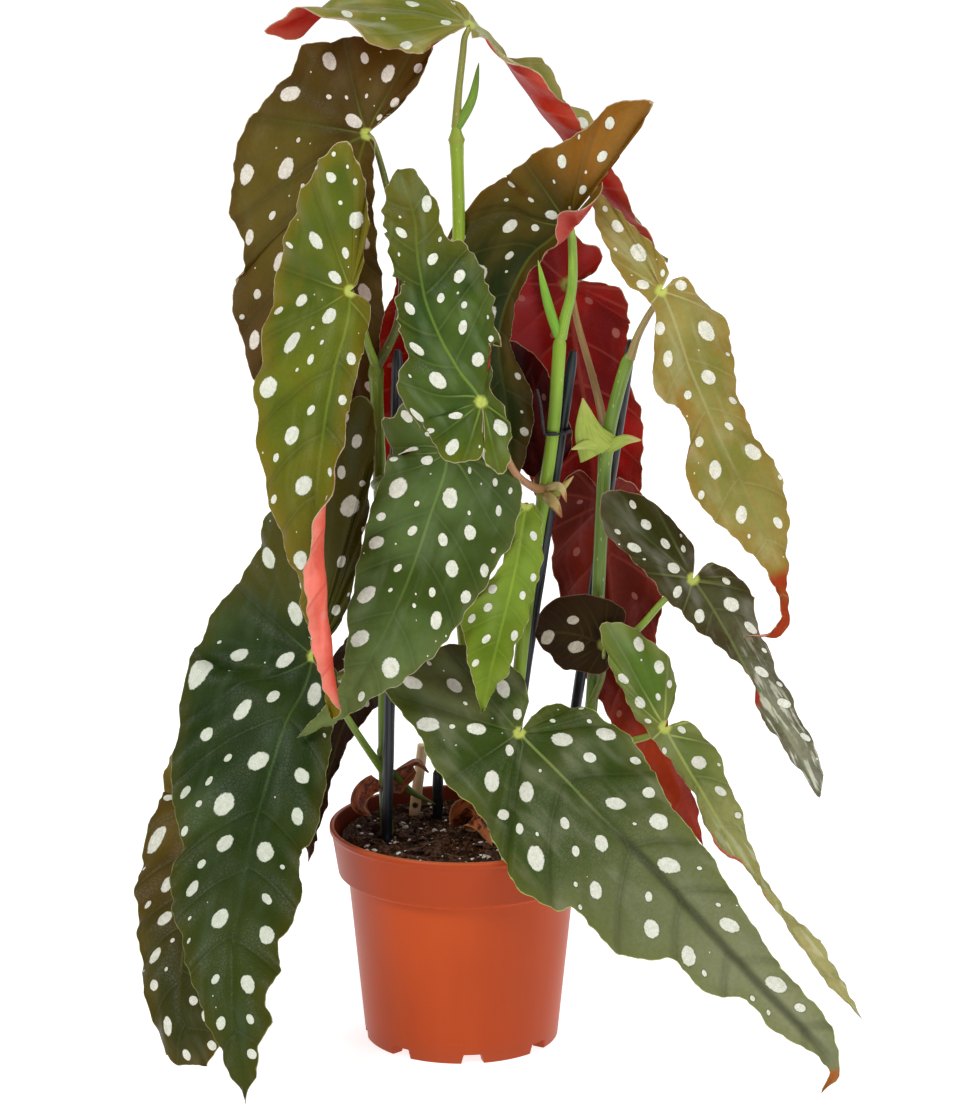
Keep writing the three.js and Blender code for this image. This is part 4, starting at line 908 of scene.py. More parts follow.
def soilSkin():
    paint = Paint("soilCrumbs")
    where = paint.place()
    broad = paint.noise(where, 60, 3)
    crumbs = paint.cells(where, 520)
    fine = paint.noise(where, 1400, 4)
    colour = paint.blend(broad.ease(0.35, 0.65), "#56341d", "#7e5432")
    # painted shade in the gaps between the crumbs
    colour = paint.blend(crumbs.ease(0.2, 0.5) * 0.8, colour, "#150b05")
    colour = paint.blend(fine.ease(0.6, 0.75) * 0.5, colour, "#8a6440")
    return paint.surface({
        "Base Color": colour, "Roughness": 0.86 + (fine - 0.5) * 0.2, "Specular IOR Level": 0.15,
        "Normal": paint.bump(fine + crumbs, 0.002, 0.9)})


def bitSkin(name, light, dark, scale):
    paint = Paint(name)
    where = paint.place()
    mottle = paint.noise(where, scale, 4)
    colour = paint.blend(mottle.ease(0.35, 0.68), dark, light)
    return paint.surface({
        "Base Color": colour, "Roughness": 0.8 + (mottle - 0.5) * 0.2, "Specular IOR Level": 0.2,
        "Normal": paint.bump(mottle, 0.0006, 0.7)})


def makeSoil():
    draw = np.random.default_rng(soil["seed"])
    build = Build()
    radii = soil["radius"] * np.linspace(0.004, 1, soil["rings"]) ** 0.92
    angle = np.linspace(0, 2 * np.pi, soil["sides"], endpoint=False)
    x, y = radii[:, None] * np.sin(angle), radii[:, None] * np.cos(angle)
    calm = np.clip((soil["radius"] - radii) / 3, 0.25, 1)
    z = soil["top"] - 0.4 + heapHeight(radii)[:, None] + crumbHeight(x, y) * calm[:, None]
    corners = np.stack([x, y, z], axis=2).reshape(-1, 3)
    sides = soil["sides"]
    faces = [face[::-1] for face in ringFaces(soil["rings"], sides)] + [tuple(range(sides))[::-1]]
    build.add(corners, faces, 0)
    skirt = [(soil["radius"], soil["top"] - 1), (soil["radius"] - 1, soil["top"] - 8), (0.3, soil["top"] - 8)]
    build.lathe(skirt[::-1], 120, 0)
    lump, lumpFaces = ball()

    def scatter(count, least, most, stretch, slot):
        for _ in range(count):
            reach = (soil["radius"] - 3) * draw.random() ** 0.5
            turn = draw.random() * 2 * np.pi
            spot = np.array([reach * np.sin(turn), reach * np.cos(turn)])
            size = least + (most - least) * draw.random() ** 2
            shape = lump * draw.uniform(0.7, 1.15, (len(lump), 1)) * size
            shape = shape * np.array([stretch, 1, draw.uniform(0.35, 0.8)])
            heading, lean = draw.random() * np.pi, draw.uniform(-0.5, 0.5)
            c, s, leant, rise = np.cos(heading), np.sin(heading), np.cos(lean), np.sin(lean)
            spin = np.array([[c, -s, 0], [s, c, 0], [0, 0, 1]])
            tilt = np.array([[leant, 0, rise], [0, 1, 0], [-rise, 0, leant]])
            high = soil["top"] - 0.2 + float(crumbHeight(*spot)) + heapHeight(reach)
            build.add(shape @ (spin @ tilt).T + np.array([*spot, high]), lumpFaces, slot)

    scatter(*soil["perlite"])
    scatter(*soil["bark"])
    for _ in range(soil["fibres"]):
        reach = (soil["radius"] - 8) * draw.random() ** 0.5
        turn, heading = draw.random() * 2 * np.pi, draw.random() * np.pi
        spot = np.array([reach * np.sin(turn), reach * np.cos(turn)])
        step = np.array([np.cos(heading), np.sin(heading)]) * draw.uniform(2, 5)
        path = []
        for f in (-1, -0.3, 0.4, 1):
            on = spot + step * f
            path.append([*on, soil["top"] + 0.5 + float(crumbHeight(*on)) + 0.6 * (1 - f * f)])
        build.tube(path, [0.22, 0.3, 0.2], 6, 10, 3)
    build.piece("pottingSoil", [
        soilSkin(), bitSkin("perlite", "#e8e4da", "#b3aca0", 700),
        bitSkin("barkChips", "#5c3a24", "#24150e", 500), bitSkin("fibres", "#8a6844", "#4a3322", 900),
    ], "soil", sharp=50)
    print("made: soil")


makeSoil()


stakes = {
    "leftStake": ("stake_left", [[-36, 0, 20], [-28, 0, 319]]),
    "middleStake": ("stake_middle", [[8, 12, 20], [50, 8, 317]]),
    "rightStake": ("stake_right", [[34, 22, 20], [76, 13, 321]]),
    "backStake": ("stake_back", [[-12, 34, 20], [-11, 34, 115]]),
}
stakeRadius = 2.5


def stakeSkin():
    paint = Paint("stakePlastic")
    where = paint.place()
    streak = paint.noise(paint.scaled(where, (700, 700, 14)), 1.0, 3)
    scuff = paint.noise(paint.scaled(where, (300, 300, 90)), 1.0, 4).ease(0.6, 0.74)
    colour = paint.blend(streak.ease(0.4, 0.7), "#0d171c", "#1b2930")
    colour = paint.blend(scuff * 0.3, colour, "#4a575c")
    return paint.surface({
        "Base Color": colour, "Roughness": 0.36 + (streak - 0.5) * 0.2 + scuff * 0.2,
        "Normal": paint.bump(streak, 0.0003, 0.5)})


def makeStakes():
    skin = stakeSkin()
    for name, (node, (foot, head)) in stakes.items():
        build = Build()
        rings = 60
        share = np.linspace(0, 1, rings)
        points = np.array(foot) + (np.array(head) - np.array(foot)) * np.linspace(0, 1, 5)[:, None]
        radii = stakeRadius + 0.06 * np.sin(share * 70)  # barely rippled, as drawn plastic is
        radii[-2:] *= (0.93, 0.6)
        build.tube(points, radii, 24, rings, 0)
        build.piece(name, [skin], node, sharp=50)
    print("made: stakes")


makeStakes()

tie = {
    "cane": (41, 2.1), "stake": (44.9, 8.5), "height": 281, "wire": 0.55, "gap": 4.0,
    "end": [[37.2, -0.6, 281.3], [36.2, -2.6, 288], [35.2, -2.2, 296], [33.8, -3.2, 302]],
}


def makeTie():
    build = Build()
    cane, stake = np.array(tie["cane"]), np.array(tie["stake"])
    middle = (cane + stake) / 2
    long = unit(stake - cane)
    wide = np.array([-long[1], long[0]])
    half = np.linalg.norm(stake - cane) / 2
    points = []
    for turn in np.linspace(-0.6 * np.pi, 3.3 * np.pi, 46):
        side = np.cos(turn)
        reach = side * tie["gap"] + np.sign(side) * half * min(1, abs(side) * 2.5)
        spot = middle + long * reach + wide * np.sin(turn) * tie["gap"]
        points.append([*spot, tie["height"] - 0.7 + 1.4 * (turn + 0.6 * np.pi) / (3.9 * np.pi)])
    build.tube(points, [tie["wire"]] * 2, 10, 130, 0)
    build.tube(tie["end"], [0.6, 0.7, 0.6, 0.5], 10, 30, 0)
    paint = Paint("tieRubber")
    where = paint.place()
    fine = paint.noise(where, 900, 3)
    colour = paint.blend(fine.ease(0.35, 0.7), "#15161a", "#2c2b33")
    skin = paint.surface({"Base Color": colour, "Roughness": 0.5 + (fine - 0.5) * 0.2,
                          "Normal": paint.bump(fine, 0.0003, 0.5)})
    build.piece("stakeTie", [skin], "stake_tie", sharp=50)
    print("made: tie")


makeTie()

woodStick = {
    "points": [[-24, 37, 50], [-22, 37, 92], [-18, 37, 126]], "radii": [2.55, 2.55, 2.4735],
    "knot": (-21.6, 34.8, 97.5),
}


def makeWoodStick():
    build = Build()
    build.tube(woodStick["points"], woodStick["radii"], 20, 40, 0)
    paint = Paint("paleWood")
    where = paint.place()
    grain = paint.noise(paint.scaled(where, (900, 900, 22)), 1.0, 4, twist=0.4)
    fine = paint.noise(paint.scaled(where, (2600, 2600, 60)), 1.0, 2)
    colour = paint.blend(grain.ease(0.35, 0.68), "#fff0c8", "#f6d4a0")
    colour = paint.blend(fine.ease(0.55, 0.7) * 0.2, colour, "#a87848")
    knot = tuple(v * mm for v in woodStick["knot"])
    away = paint.node("ShaderNodeVectorMath", {"operation": "DISTANCE"}, {0: where, 1: knot}, "Value")
    colour = paint.blend(away.ease(0.0019, 0.0009), colour, "#3a2414")
    z = where.parts()[2]
    colour = paint.blend(z.ease(0.096, 0.091) * 0.5, colour, "#6b4a2c")
    skin = paint.surface({"Base Color": colour, "Roughness": 0.62 + (fine - 0.5) * 0.2,
                          "Normal": paint.bump(grain + fine, 0.0003, 0.6)})
    build.piece("woodStick", [skin], "wood_stick", sharp=50)
    print("made: wood stick")


makeWoodStick()


# the upper side of the leaves that turn their red underside to the front
hiddenTop = {
    "sheen": "#6f7e5a", "deep": "#375719", "light": "#537031", "patch": "#695723", "edge": "#575723",
    "vein": "#8c9d45",
}

crownLeaf = {
    "name": "crownLeaf", "node": "leaf_crown", "slot": "leaf_olive", "seed": 1.7,
    "joinsAt": 2, "bendWidth": 14,
    "dots": {"classes": [(2.4, 3.6, 12, 70), (1, 1.8, 8, 50)]},
    "spine": [[-82, -4, 461, -150, 0, 0], [-48, 0, 470, -84, -12, 12], [4, 0, 463, -62, -30, 12],
        [19, 0, 448, -88, 35, 40], [46, 12, 410, -92, 72, 48], [70, 16, 378, -92, 72, 48],
        [92, 14, 356, -92, 60, 40]],
    "left": [[3, -8], [12, -9], [21, -15], [32, -18], [55, -18], [80, -17], [105, -14], [125, -8]],
    "right": [[-6, -8], [-22, -22], [-44, -25], [-64, -17], [-80, -8], [-91, 0], [-82, 8], [-67, 15],
        [-45, 27], [-22, 24], [-7, 12], [4, 5], [19, 4], [28, 9], [36, 22], [45, 26], [54, 20], [62, 20],
        [70, 26], [79, 25], [98, 15], [125, 8]],
    "stalk": [[-2, 8, 417], [-1, 5, 432], [1, 1, 450], [2, 0, 458], [4, 0, 462]],
    "stalkLook": ("#7a852c", "#878131"),
    "look": {
        "sheen": "#b4b696", "sheened": 0.35, "deep": "#656a1b", "light": "#7e823e", "patch": "#ac9457",
        "patched": 0.45, "edge": "#a38c4c", "edged": 0.4, "vein": "#9da869", "veinShade": "#454b07",
        "redDeep": "#8e0707", "red": "#a32307", "redEdge": "#bc624c",
    },
}
growLeaf(crownLeaf)

bronzeLeaf = {
    "name": "bronzeLeaf", "node": "leaf_bronze", "slot": "leaf_olive", "seed": 2.3,
    "joinsAt": 1, "bendWidth": 9, "thick": 2.3,
    "dots": {"classes": [(2.7, 4.2, 8.6, 110), (1.6, 2.4, 6, 120), (0.7, 1.3, 4.6, 60)], "slim": (1.2, 1.9)},
    "spine": [[84, -26, 429, -5, -12, 20], [47, -4, 377, 0, -12, 150], [29, 8, 357, 0, -12, 60],
        [17, 14, 325, 0, -12, -12], [20, 11, 294, 0, -12, -12], [24, 8, 256, 0, -12, -12]],
    "left": [[-25, 0], [-53, -0.8], [-69, -2], [-70, -6], [-59, -16], [-35, -21], [-13, -31], [23, -35],
        [38, -36], [55, -26], [73, -14], [100, -12], [123, -6]],
    "right": [[-26, 1], [-24, 5], [-19, 12], [-10, 18], [-2, 17], [4, 12], [12, 7], [30, 4], [46, 4], [60, 5],
        [78, 7], [96, 12], [111, 10], [125, 5]],
    "stalk": [[44, 1, 324], [46, 1, 333], [49, 1, 346], [49, -1, 368], [48, -3, 375]],
    "stalkLook": ("#87ac31", "#6f9223"),
    "look": {
        "sheen": "#6d5e29", "sheened": 0.25, "deep": "#313107", "light": "#534207", "patch": "#5a3707",
        "edge": "#694507", "edged": 0.4, "vein": "#6b7023",
        "bands": [(2, -40, "#8c5712"), (-2, 45, "#1b2c07")], "red": "#ac3b2e", "redDeep": "#8c190d",
        "redEdge": "#c57065",
    },
}
growLeaf(bronzeLeaf)

brownLeaf = {
    "name": "brownLeaf", "node": "leaf_left_brown", "slot": "leaf_olive", "seed": 3.1,
    "joinsAt": 1, "bendWidth": 30, "quilt": 0.6,
    "turned": (12, -16, -16),
    "spine": [[-24, 8, 450], [-41, 2, 415], [-48, 2, 386], [-51, 6, 345], [-49, 14, 307], [-43, 22, 270]],
    "left": [[-7, 4], [-19, 9], [-39, 11], [-49, 7], [-44, -7], [-33, -28], [-22, -44], [-9, -45], [3, -51],
        [13, -57], [30, -59], [45, -58], [66, -49], [79, -56], [98, -54], [120, -47], [136, -30]],
    "right": [[2, 5], [17, 8], [42, 12], [75, 17], [98, 14], [126, 8]],
    "stalk": [[-37, 6, 311], [-32, 6, 320], [-28, 5, 330], [-26, 6, 357], [-32, 6, 389], [-39, 3, 413]],
    "stalkLook": ("#5d691d", "#475007"),
    "look": {
        "sheen": "#6b6549", "sheened": 0.1, "gloss": 0.08, "deep": "#3d2e07", "light": "#574916",
        "patch": "#494608", "edge": "#452b07", "vein": "#5f6c26",
        "bands": [(5, -45, "#523707"), (40, 120, "#493007")], "dot": "#dcd6c8", "dotShade": "#c4bcae",
    },
}
growLeaf(brownLeaf)

oliveLeaf = {
    "name": "oliveLeaf", "node": "leaf_left_olive", "slot": "leaf_olive", "seed": 4.9,
    "joinsAt": 1, "bendWidth": 10, "quilt": 0.55,
    "spine": [[-53, -30, 418, 14, -22, -22], [-48, -24, 350, 14, -22, -22], [-55, -32, 317, 14, -22, -22],
        [-61, -42, 283, 14, -22, 30], [-63, -52, 250, 14, -22, 110], [-60, -56, 210, 14, -22, 150],
        [-56, -58, 166, 14, -22, 150]],
    "left": [[-3, 3], [-13, 6], [-33, 10], [-49, 10], [-61, 7], [-67, 1], [-54, -13], [-37, -25], [-6, -39],
        [29, -40], [59, -36], [93, -25], [122, -13], [146, -8], [173, -4]],
    "right": [[2, 5], [6, 9], [23, 10], [40, 10], [70, 11], [112, 17], [140, 17], [170, 13], [186, 7]],
    "stalk": [[-38, 6, 311], [-41, -3, 322], [-43, -10, 332], [-47, -22, 347]],
    "stalkLook": ("#7e9d2e", "#697a20"),
    "look": {
        "sheen": "#7a7f3e", "sheened": 0.25, "deep": "#455207", "light": "#5d650d", "patch": "#605707",
        "edge": "#755e07", "edged": 0.5, "vein": "#879631", "bands": [(50, 130, "#615507")],
        "veined": 0.6, "red": "#da5e4b", "redDeep": "#c54531", "redEdge": "#f1a796",
        "redVein": "#bc4031", "redSheen": "#f39081", "redSheened": 0.5,
    },
}
growLeaf(oliveLeaf)

crinkledLeaf = {
    "name": "crinkledLeaf", "node": "leaf_centre_crinkled", "slot": "leaf", "seed": 5.3,
    "joinsAt": 1, "bendWidth": 30, "quilt": 1.7, "tooth": 0.55, "crinkle": 0.9, "ruffle": 0.8,
    "dots": {
        "classes": [(2.8, 4.1, 8.2, 110), (1.5, 2.4, 5.8, 150), (0.7, 1.2, 4.4, 60)],
        "slim": (1.3, 1.9),
    },
    "turned": (-6, -22, -22),
    "spine": [[15, -62, 282], [9, -54, 307], [-2, -50, 322], [-13, -46, 344], [-18, -43, 365],
        [-20, -39, 386], [-27, -32, 405]],
    "left": [[-17, 2.5], [-29, 3.4], [-31, -4], [-12, -10], [3, -7], [20, -21], [45, -28], [71, -23],
        [78, -13], [93, -10], [105, -7]],
    "right": [[-13, 2.7], [-24, 5.3], [-23, 15], [-18, 24], [15, 32], [25, 26], [36, 16], [52, 14], [60, 8],
        [77, 14], [99, 11]],
    "stalk": [[37, 3, 255], [32, -10, 259], [23, -32, 272], [16, -47, 292], [10, -52, 305]],
    "stalkLook": ("#8c693e", "#ac7357"),
    "look": {
        "sheen": "#71815a", "sheened": 0.35, "deep": "#1d3607", "light": "#415518", "patch": "#344807",
        "edge": "#535707", "vein": "#769434", "bands": [(45, 100, "#5a5516"), (-9, -24, "#526207")],
    },
}
growLeaf(crinkledLeaf)

greenLeaf = {
    "name": "greenLeaf", "node": "leaf_centre_green", "slot": "leaf", "seed": 6.1,
    "joinsAt": 1, "bendWidth": 30, "quilt": 0.6,
    "turned": (6, -16, -16),
    "spine": [[-18, -22, 300], [-6, -28, 279], [-14, -30, 249], [-25, -34, 218], [-39, -38, 189],
        [-56, -40, 164], [-73, -41, 152]],
    "left": [[-9, -1], [-28, -4], [-26, -13], [-21, -23], [35, -26], [79, -20], [114, -6], [133, -4]],
    "right": [[-3, 7], [-1, 19], [4, 30], [12, 36], [29, 38], [58, 31], [87, 23], [108, 13], [123, 6]],
    "stalk": [[-37, 8, 254], [-38, -5, 260], [-27, -14, 267], [-7, -26, 277]],
    "stalkLook": ("#7e9d2e", "#5c7a19"),
    "look": {
        "sheen": "#6f7e5a", "sheened": 0.3, "deep": "#314207", "light": "#4e6231", "patch": "#3e5007",
        "edge": "#535e23", "vein": "#809d4c", "bands": [(70, 130, "#5f6b3a")], "veined": 0.5,
    },
}
growLeaf(greenLeaf)

limeLeaf = {
    "name": "limeLeaf", "node": "leaf_lime", "slot": "leaf", "seed": 7.4,
    "joinsAt": 0, "bendWidth": 30, "quilt": 0.6,
    "dots": {"classes": [(1.9, 2.9, 4.6, 90), (1, 1.7, 3.6, 40)]},
    "turned": (-12, -14, -14),
    "spine": [[29, -22, 254], [25, -23, 229], [20, -24, 206], [14, -26, 182], [9, -28, 160]],
    "left": [[-1, -4], [14, -4], [34, -9], [54, -19], [66, -15], [83, -7]],
    "right": [[-1, 3], [6, 8], [21, 11], [47, 11], [73, 8], [86, 4]],
    "stalk": [[35, 3, 241], [32, -8, 245], [29, -20, 252]],
    "stalkLook": ("#8cbc31", "#6f9d20"),
    "look": {
        "sheen": "#95a35a", "sheened": 0.25, "deep": "#526807", "light": "#6c8729", "patch": "#6b7f19",
        "edge": "#7d9029", "vein": "#9bb23e", "veinShade": "#3e5307", "veined": 0.6,
    },
}
growLeaf(limeLeaf)

frontLeaf = {
    "name": "frontLeaf", "node": "leaf_front_right", "slot": "leaf", "seed": 8.8,
    "joinsAt": 1, "bendWidth": 30,
    "dots": {
        "classes": [(4, 5.6, 9, 150), (2.3, 3.4, 6.2, 190), (0.9, 1.6, 4.8, 80), (0.3, 0.5, 3.6, 36)],
        "slim": (1.25, 1.8),
    },
    "spine": [[-3, -10, 178, -20, -10, -10], [26, -26, 150, -20, -10, -10], [44, -46, 137, -20, -10, -10],
        [61, -62, 123, -20, -10, -10], [83, -82, 106, -16, -10, -10], [104, -100, 87, -12, -10, -10],
        [130, -118, 63, -8, -10, -10], [159, -132, 34, -4, -10, -10], [155, -138, 22, 0, -10, -10]],
    "left": [[-8, 13], [-17, 18], [-27, 19], [-40, 16], [-52, 2], [-59, -16], [-56, -31], [-34, -33],
        [-10, -39], [12, -38], [36, -43], [56, -48], [75, -42], [81, -37], [108, -37], [120, -30], [130, -20],
        [149, -20], [164, -9], [179, -10], [191, -7], [204, -3]],
    "right": [[-2, 9], [2, 23], [21, 31], [44, 34], [80, 25], [102, 23], [129, 18], [164, 12], [192, 11],
        [207, 5]],
    "stalk": [[21, 4, 114], [23, -8, 130], [26, -24, 147]],
    "stalkLook": ("#7e9d2e", "#697a20"),
    # the pale grey band from 80 to 190 mm and the sheen of this leaf are painted sheen
    "look": {
        "sheen": "#74785a", "sheened": 0.5, "sideVeined": 0.25, "veinShaded": 0.24, "ribReach": 85,
        "ribShaded": 0.6, "deep": "#2e4007", "light": "#575f39", "patch": "#45420d", "edge": "#5d6226",
        "vein": "#95a757", "rim": "#a9b060", "bands": [(40, 100, "#5d643a"), (80, 190, "#808260")],
        "tip": (210, 214, "#965520"), "rough": 0.42,
    },
}
growLeaf(frontLeaf)

lowLeftLeaf = {
    "name": "lowLeftLeaf", "node": "leaf_low_left", "slot": "leaf", "seed": 9.2,
    "joinsAt": 1, "bendWidth": 30,
    "dots": {
        "classes": [(3.9, 5.3, 8.8, 130), (2.1, 3.2, 6.2, 170), (1, 1.6, 4.6, 80), (0.3, 0.5, 3.6, 36)],
        "slim": (1.2, 1.8),
    },
    "turned": (18, -12, -12),
    "spine": [[-48, -8, 287], [-66, -16, 183], [-78, -32, 156], [-88, -52, 127], [-95, -80, 99],
        [-99, -112, 64], [-92, -138, 17]],
    "left": [[-5, 3], [-19, 10], [-42, 13], [-74, 13], [-106, 11], [-119, 3], [-106, -11], [-83, -25],
        [-56, -34], [-30, -40], [-9, -53], [12, -56], [40, -50], [70, -44], [95, -32], [113, -35], [141, -24],
        [165, -16], [184, -10], [205, -3]],
    "right": [[1, 7], [7, 14], [36, 22], [60, 26], [82, 27], [97, 23], [120, 27], [142, 21], [158, 22],
        [171, 15], [181, 17], [188, 11], [199, 7]],
    "stalk": [[-35, 9, 121], [-44, 1, 137], [-54, -6, 156], [-65, -14, 180]],
    "stalkLook": ("#7e9d2e", "#5c7a19"),
    "look": {
        "dot": "#d4d8c8", "dotShade": "#bcc1ae", "sheen": "#405037", "sheened": 0.35, "deep": "#1d2e07",
        "light": "#37471d", "patch": "#2e3907", "edge": "#423e07", "edged": 0.55, "vein": "#537031",
        "bands": [(0, -40, "#423e07"), (60, 160, "#313b07")], "rim": "#7a8048", "veined": 0.6,
    },
}
growLeaf(lowLeftLeaf)

farLeftLeaf = {
    "name": "farLeftLeaf", "node": "leaf_far_left", "slot": "leaf", "seed": 10.6,
    "joinsAt": 1, "bendWidth": 30,
    "turned": (22, -14, -14),
    "spine": [[-112, 8, 134], [-102, -2, 111], [-114, -18, 88], [-123, -46, 62], [-124, -68, 34],
        [-112, -84, 14]],
    "left": [[-15, -1], [-29, -5], [-33, -22], [-29, -34], [-16, -40], [8, -37], [30, -33], [50, -29],
        [87, -19], [109, -16], [123, -14]],
    "right": [[-4, 5], [4, 13], [27, 21], [65, 24], [100, 23], [127, 14]],
    "stalk": [[-35, 10, 170], [-58, 18, 163], [-87, 8, 134], [-101, -1, 113]],
    "stalkLook": ("#7a8c2e", "#5c6919"),
    "look": {
        "sheen": "#5d5736", "sheened": 0.3, "deep": "#453507", "light": "#5d4c07", "patch": "#4c4207",
        "edge": "#574207", "vein": "#60671d", "bands": [(40, 90, "#2c3107")], "rim": "#8a9048",
    },
}
growLeaf(farLeftLeaf)

backBrownLeaf = {
    "name": "backBrownLeaf", "node": "leaf_back_brown", "slot": "leaf", "seed": 11.5,
    "joinsAt": 0, "bendWidth": 30,
    "turned": (18, -14, -14),
    "spine": [[-40, 30, 176], [-50, 32, 149], [-61, 30, 116], [-71, 22, 74]],
    "left": [[-2, -5], [5, -14], [27, -17], [54, -14], [85, -9]],
    "right": [[-3, 3], [3, 12], [18, 14], [32, 10], [45, 6], [62, 3.5], [80, 2.5], [97, 2]],
    "stalk": [[-35, 10, 202], [-37, 22, 189], [-40, 29, 177]],
    "stalkLook": ("#697a29", "#53601d"),
    "look": {
        "sheen": "#45340d", "sheened": 0.2, "deep": "#200d07", "light": "#342007", "patch": "#312907",
        "edge": "#310d07", "vein": "#574e16",
    },
}
growLeaf(backBrownLeaf)

backLeftLeaf = {
    "name": "backLeftLeaf", "node": "leaf_back_left", "slot": "leaf_red", "seed": 12.7,
    "joinsAt": 0, "bendWidth": 30, "underside": True,
    "turned": (10, 16, 16),
    "spine": [[-10, 46, 333], [-21, 44, 310], [-31, 40, 283], [-40, 36, 256]],
    "left": [[-4, -3], [-12, -13], [-14, -25], [9, -19], [22, -22], [46, -18], [68, -11]],
    "right": [[1, 5], [8, 16], [36, 24], [60, 18], [78, 7]],
    "stalk": [[-4, 18, 314], [-6, 34, 324], [-9, 44, 332]],
    "stalkLook": ("#7a5729", "#694520"),
    "look": {**hiddenTop, "redDeep": "#8c0707", "red": "#ac1907", "redEdge": "#bc4529"},
}
growLeaf(backLeftLeaf)

backRedLeaf = {
    "name": "backRedLeaf", "node": "leaf_back_red", "slot": "leaf_red", "seed": 13.9,
    "joinsAt": 1, "bendWidth": 30, "underside": True,
    "spine": [[44, 26, 369, 0, 12, 12], [48, 36, 342, 0, -30, 12], [52, 48, 309, 0, -30, 12],
        [58, 55, 271, 0, -10, 12], [62, 58, 228, 0, 12, 12], [64, 56, 190, 0, 12, 12]],
    "left": [[-1.2, 4], [-2.6, 8], [-9, 16], [-15, 16], [-23, 8], [-31, 1], [-24, -19], [-15, -26], [21, -36],
        [39, -36], [77, -32], [121, -23], [146, -11]],
    "right": [[-1, 7], [1, 17], [8, 24], [19, 26], [38, 23], [57, 22], [68, 25], [84, 24], [105, 21],
        [138, 12]],
    "stalk": [[65, 4, 276], [62, 14, 291], [59, 22, 302], [52, 32, 326], [49, 35, 340]],
    "stalkLook": ("#9d8c4c", "#ac7a55"),
    "look": {**hiddenTop, "redDeep": "#6b0707", "red": "#9d0d07", "redEdge": "#992e19", "litFlap": "#ac2e31"},
}
growLeaf(backRedLeaf)

backMaroonLeaf = {
    "name": "backMaroonLeaf", "node": "leaf_back_maroon", "slot": "leaf_red", "seed": 14.4,
    "joinsAt": 0, "bendWidth": 30, "underside": True,
    "turned": (0, 12, 12),
    "spine": [[40, 22, 259], [35, 24, 277], [26, 26, 298], [17, 26, 319]],
    "left": [[-4, -2], [11, -13], [30, -15], [48, -13], [59, -7]],
    "right": [[-3, 3], [3, 12], [21, 18], [44, 11]],
    "stalk": [[37, 3, 254], [34, 12, 256], [36, 20, 258]],
    "stalkLook": ("#7a5729", "#694520"),
    "look": {**hiddenTop, "redDeep": "#200707", "red": "#420707", "redEdge": "#570707", "redVein": "#570d07"},
}
growLeaf(backMaroonLeaf)

rightPurpleLeaf = {
    "name": "rightPurpleLeaf", "node": "leaf_right_purple", "slot": "leaf_red", "seed": 15.8,
    "joinsAt": 1, "bendWidth": 30, "underside": True,
    "turned": (-8, 16, 16),
    "spine": [[65, 28, 258], [65, 32, 242], [67, 34, 210], [72, 28, 174], [88, 16, 137], [110, 0, 89]],
    "left": [[-8, -4], [-18, -12], [-4, -23], [15, -26], [43, -24], [69, -19], [105, -15], [140, -8]],
    "right": [[-8, 3], [-13, 7], [-2, 17], [30, 24], [51, 23], [77, 15], [117, 6], [146, 5]],
    "stalk": [[63, 5, 233], [69, 16, 237], [66, 30, 241]],
    "stalkLook": ("#7a5729", "#694520"),
    "look": {
        **hiddenTop, "redBands": [(70, 120, "#963112")], "redDeep": "#5a1607", "red": "#7d2312",
        "redEdge": "#7a2316", "redVein": "#8c392c", "redSheen": "#8c4545", "redSheened": 0.55,
    },
}
growLeaf(rightPurpleLeaf)

rightDarkLeaf = {
    "name": "rightDarkLeaf", "node": "leaf_right_dark", "slot": "leaf", "seed": 16.2,
    "joinsAt": 1, "bendWidth": 30,
    "dots": {"classes": [(2.6, 3.9, 5.6, 150), (1.4, 2.2, 4.4, 90), (0.4, 0.8, 3.2, 40)], "slim": (1.35, 2)},
    "turned": (-18, -16, -16),
    "spine": [[79, -12, 248], [103, -18, 219], [116, -26, 200], [130, -34, 175], [147, -42, 149],
        [159, -46, 126]],
    "left": [[-6, 6], [-14, 10], [-36, 8], [-50, 1], [-54, -8], [-42, -17], [-17, -15], [-1, -15], [23, -10],
        [49, 0], [63, -4], [76, -5], [103, -2]],
    "right": [[-0.8, 5], [-1, 11], [7, 17], [18, 19], [30, 15], [55, 12], [75, 10], [102, 7]],
    "stalk": [[60, 5, 177], [78, -4, 191], [91, -12, 208], [102, -17, 218]],
    "stalkLook": ("#7e9d2e", "#6f8529"),
    # the grey band from 30 to 85 mm, the pale streaks and the sheen of this leaf are painted sheen
    "look": {
        "sheen": "#7d7c6d", "sheened": 0.6, "streaks": (18, 75, "#c2c2af", 0.85),
        "blush": (43, 66, 3.2, "#8e1d0d"), "deep": "#31340d", "light": "#505034", "patch": "#312307",
        "edge": "#362d07", "edged": 0.6, "vein": "#7e8c47", "patched": 0.65,
        "bands": [(30, 85, "#818169")], "rim": "#9a7a60", "veined": 0.6,
    },
}
growLeaf(rightDarkLeaf)

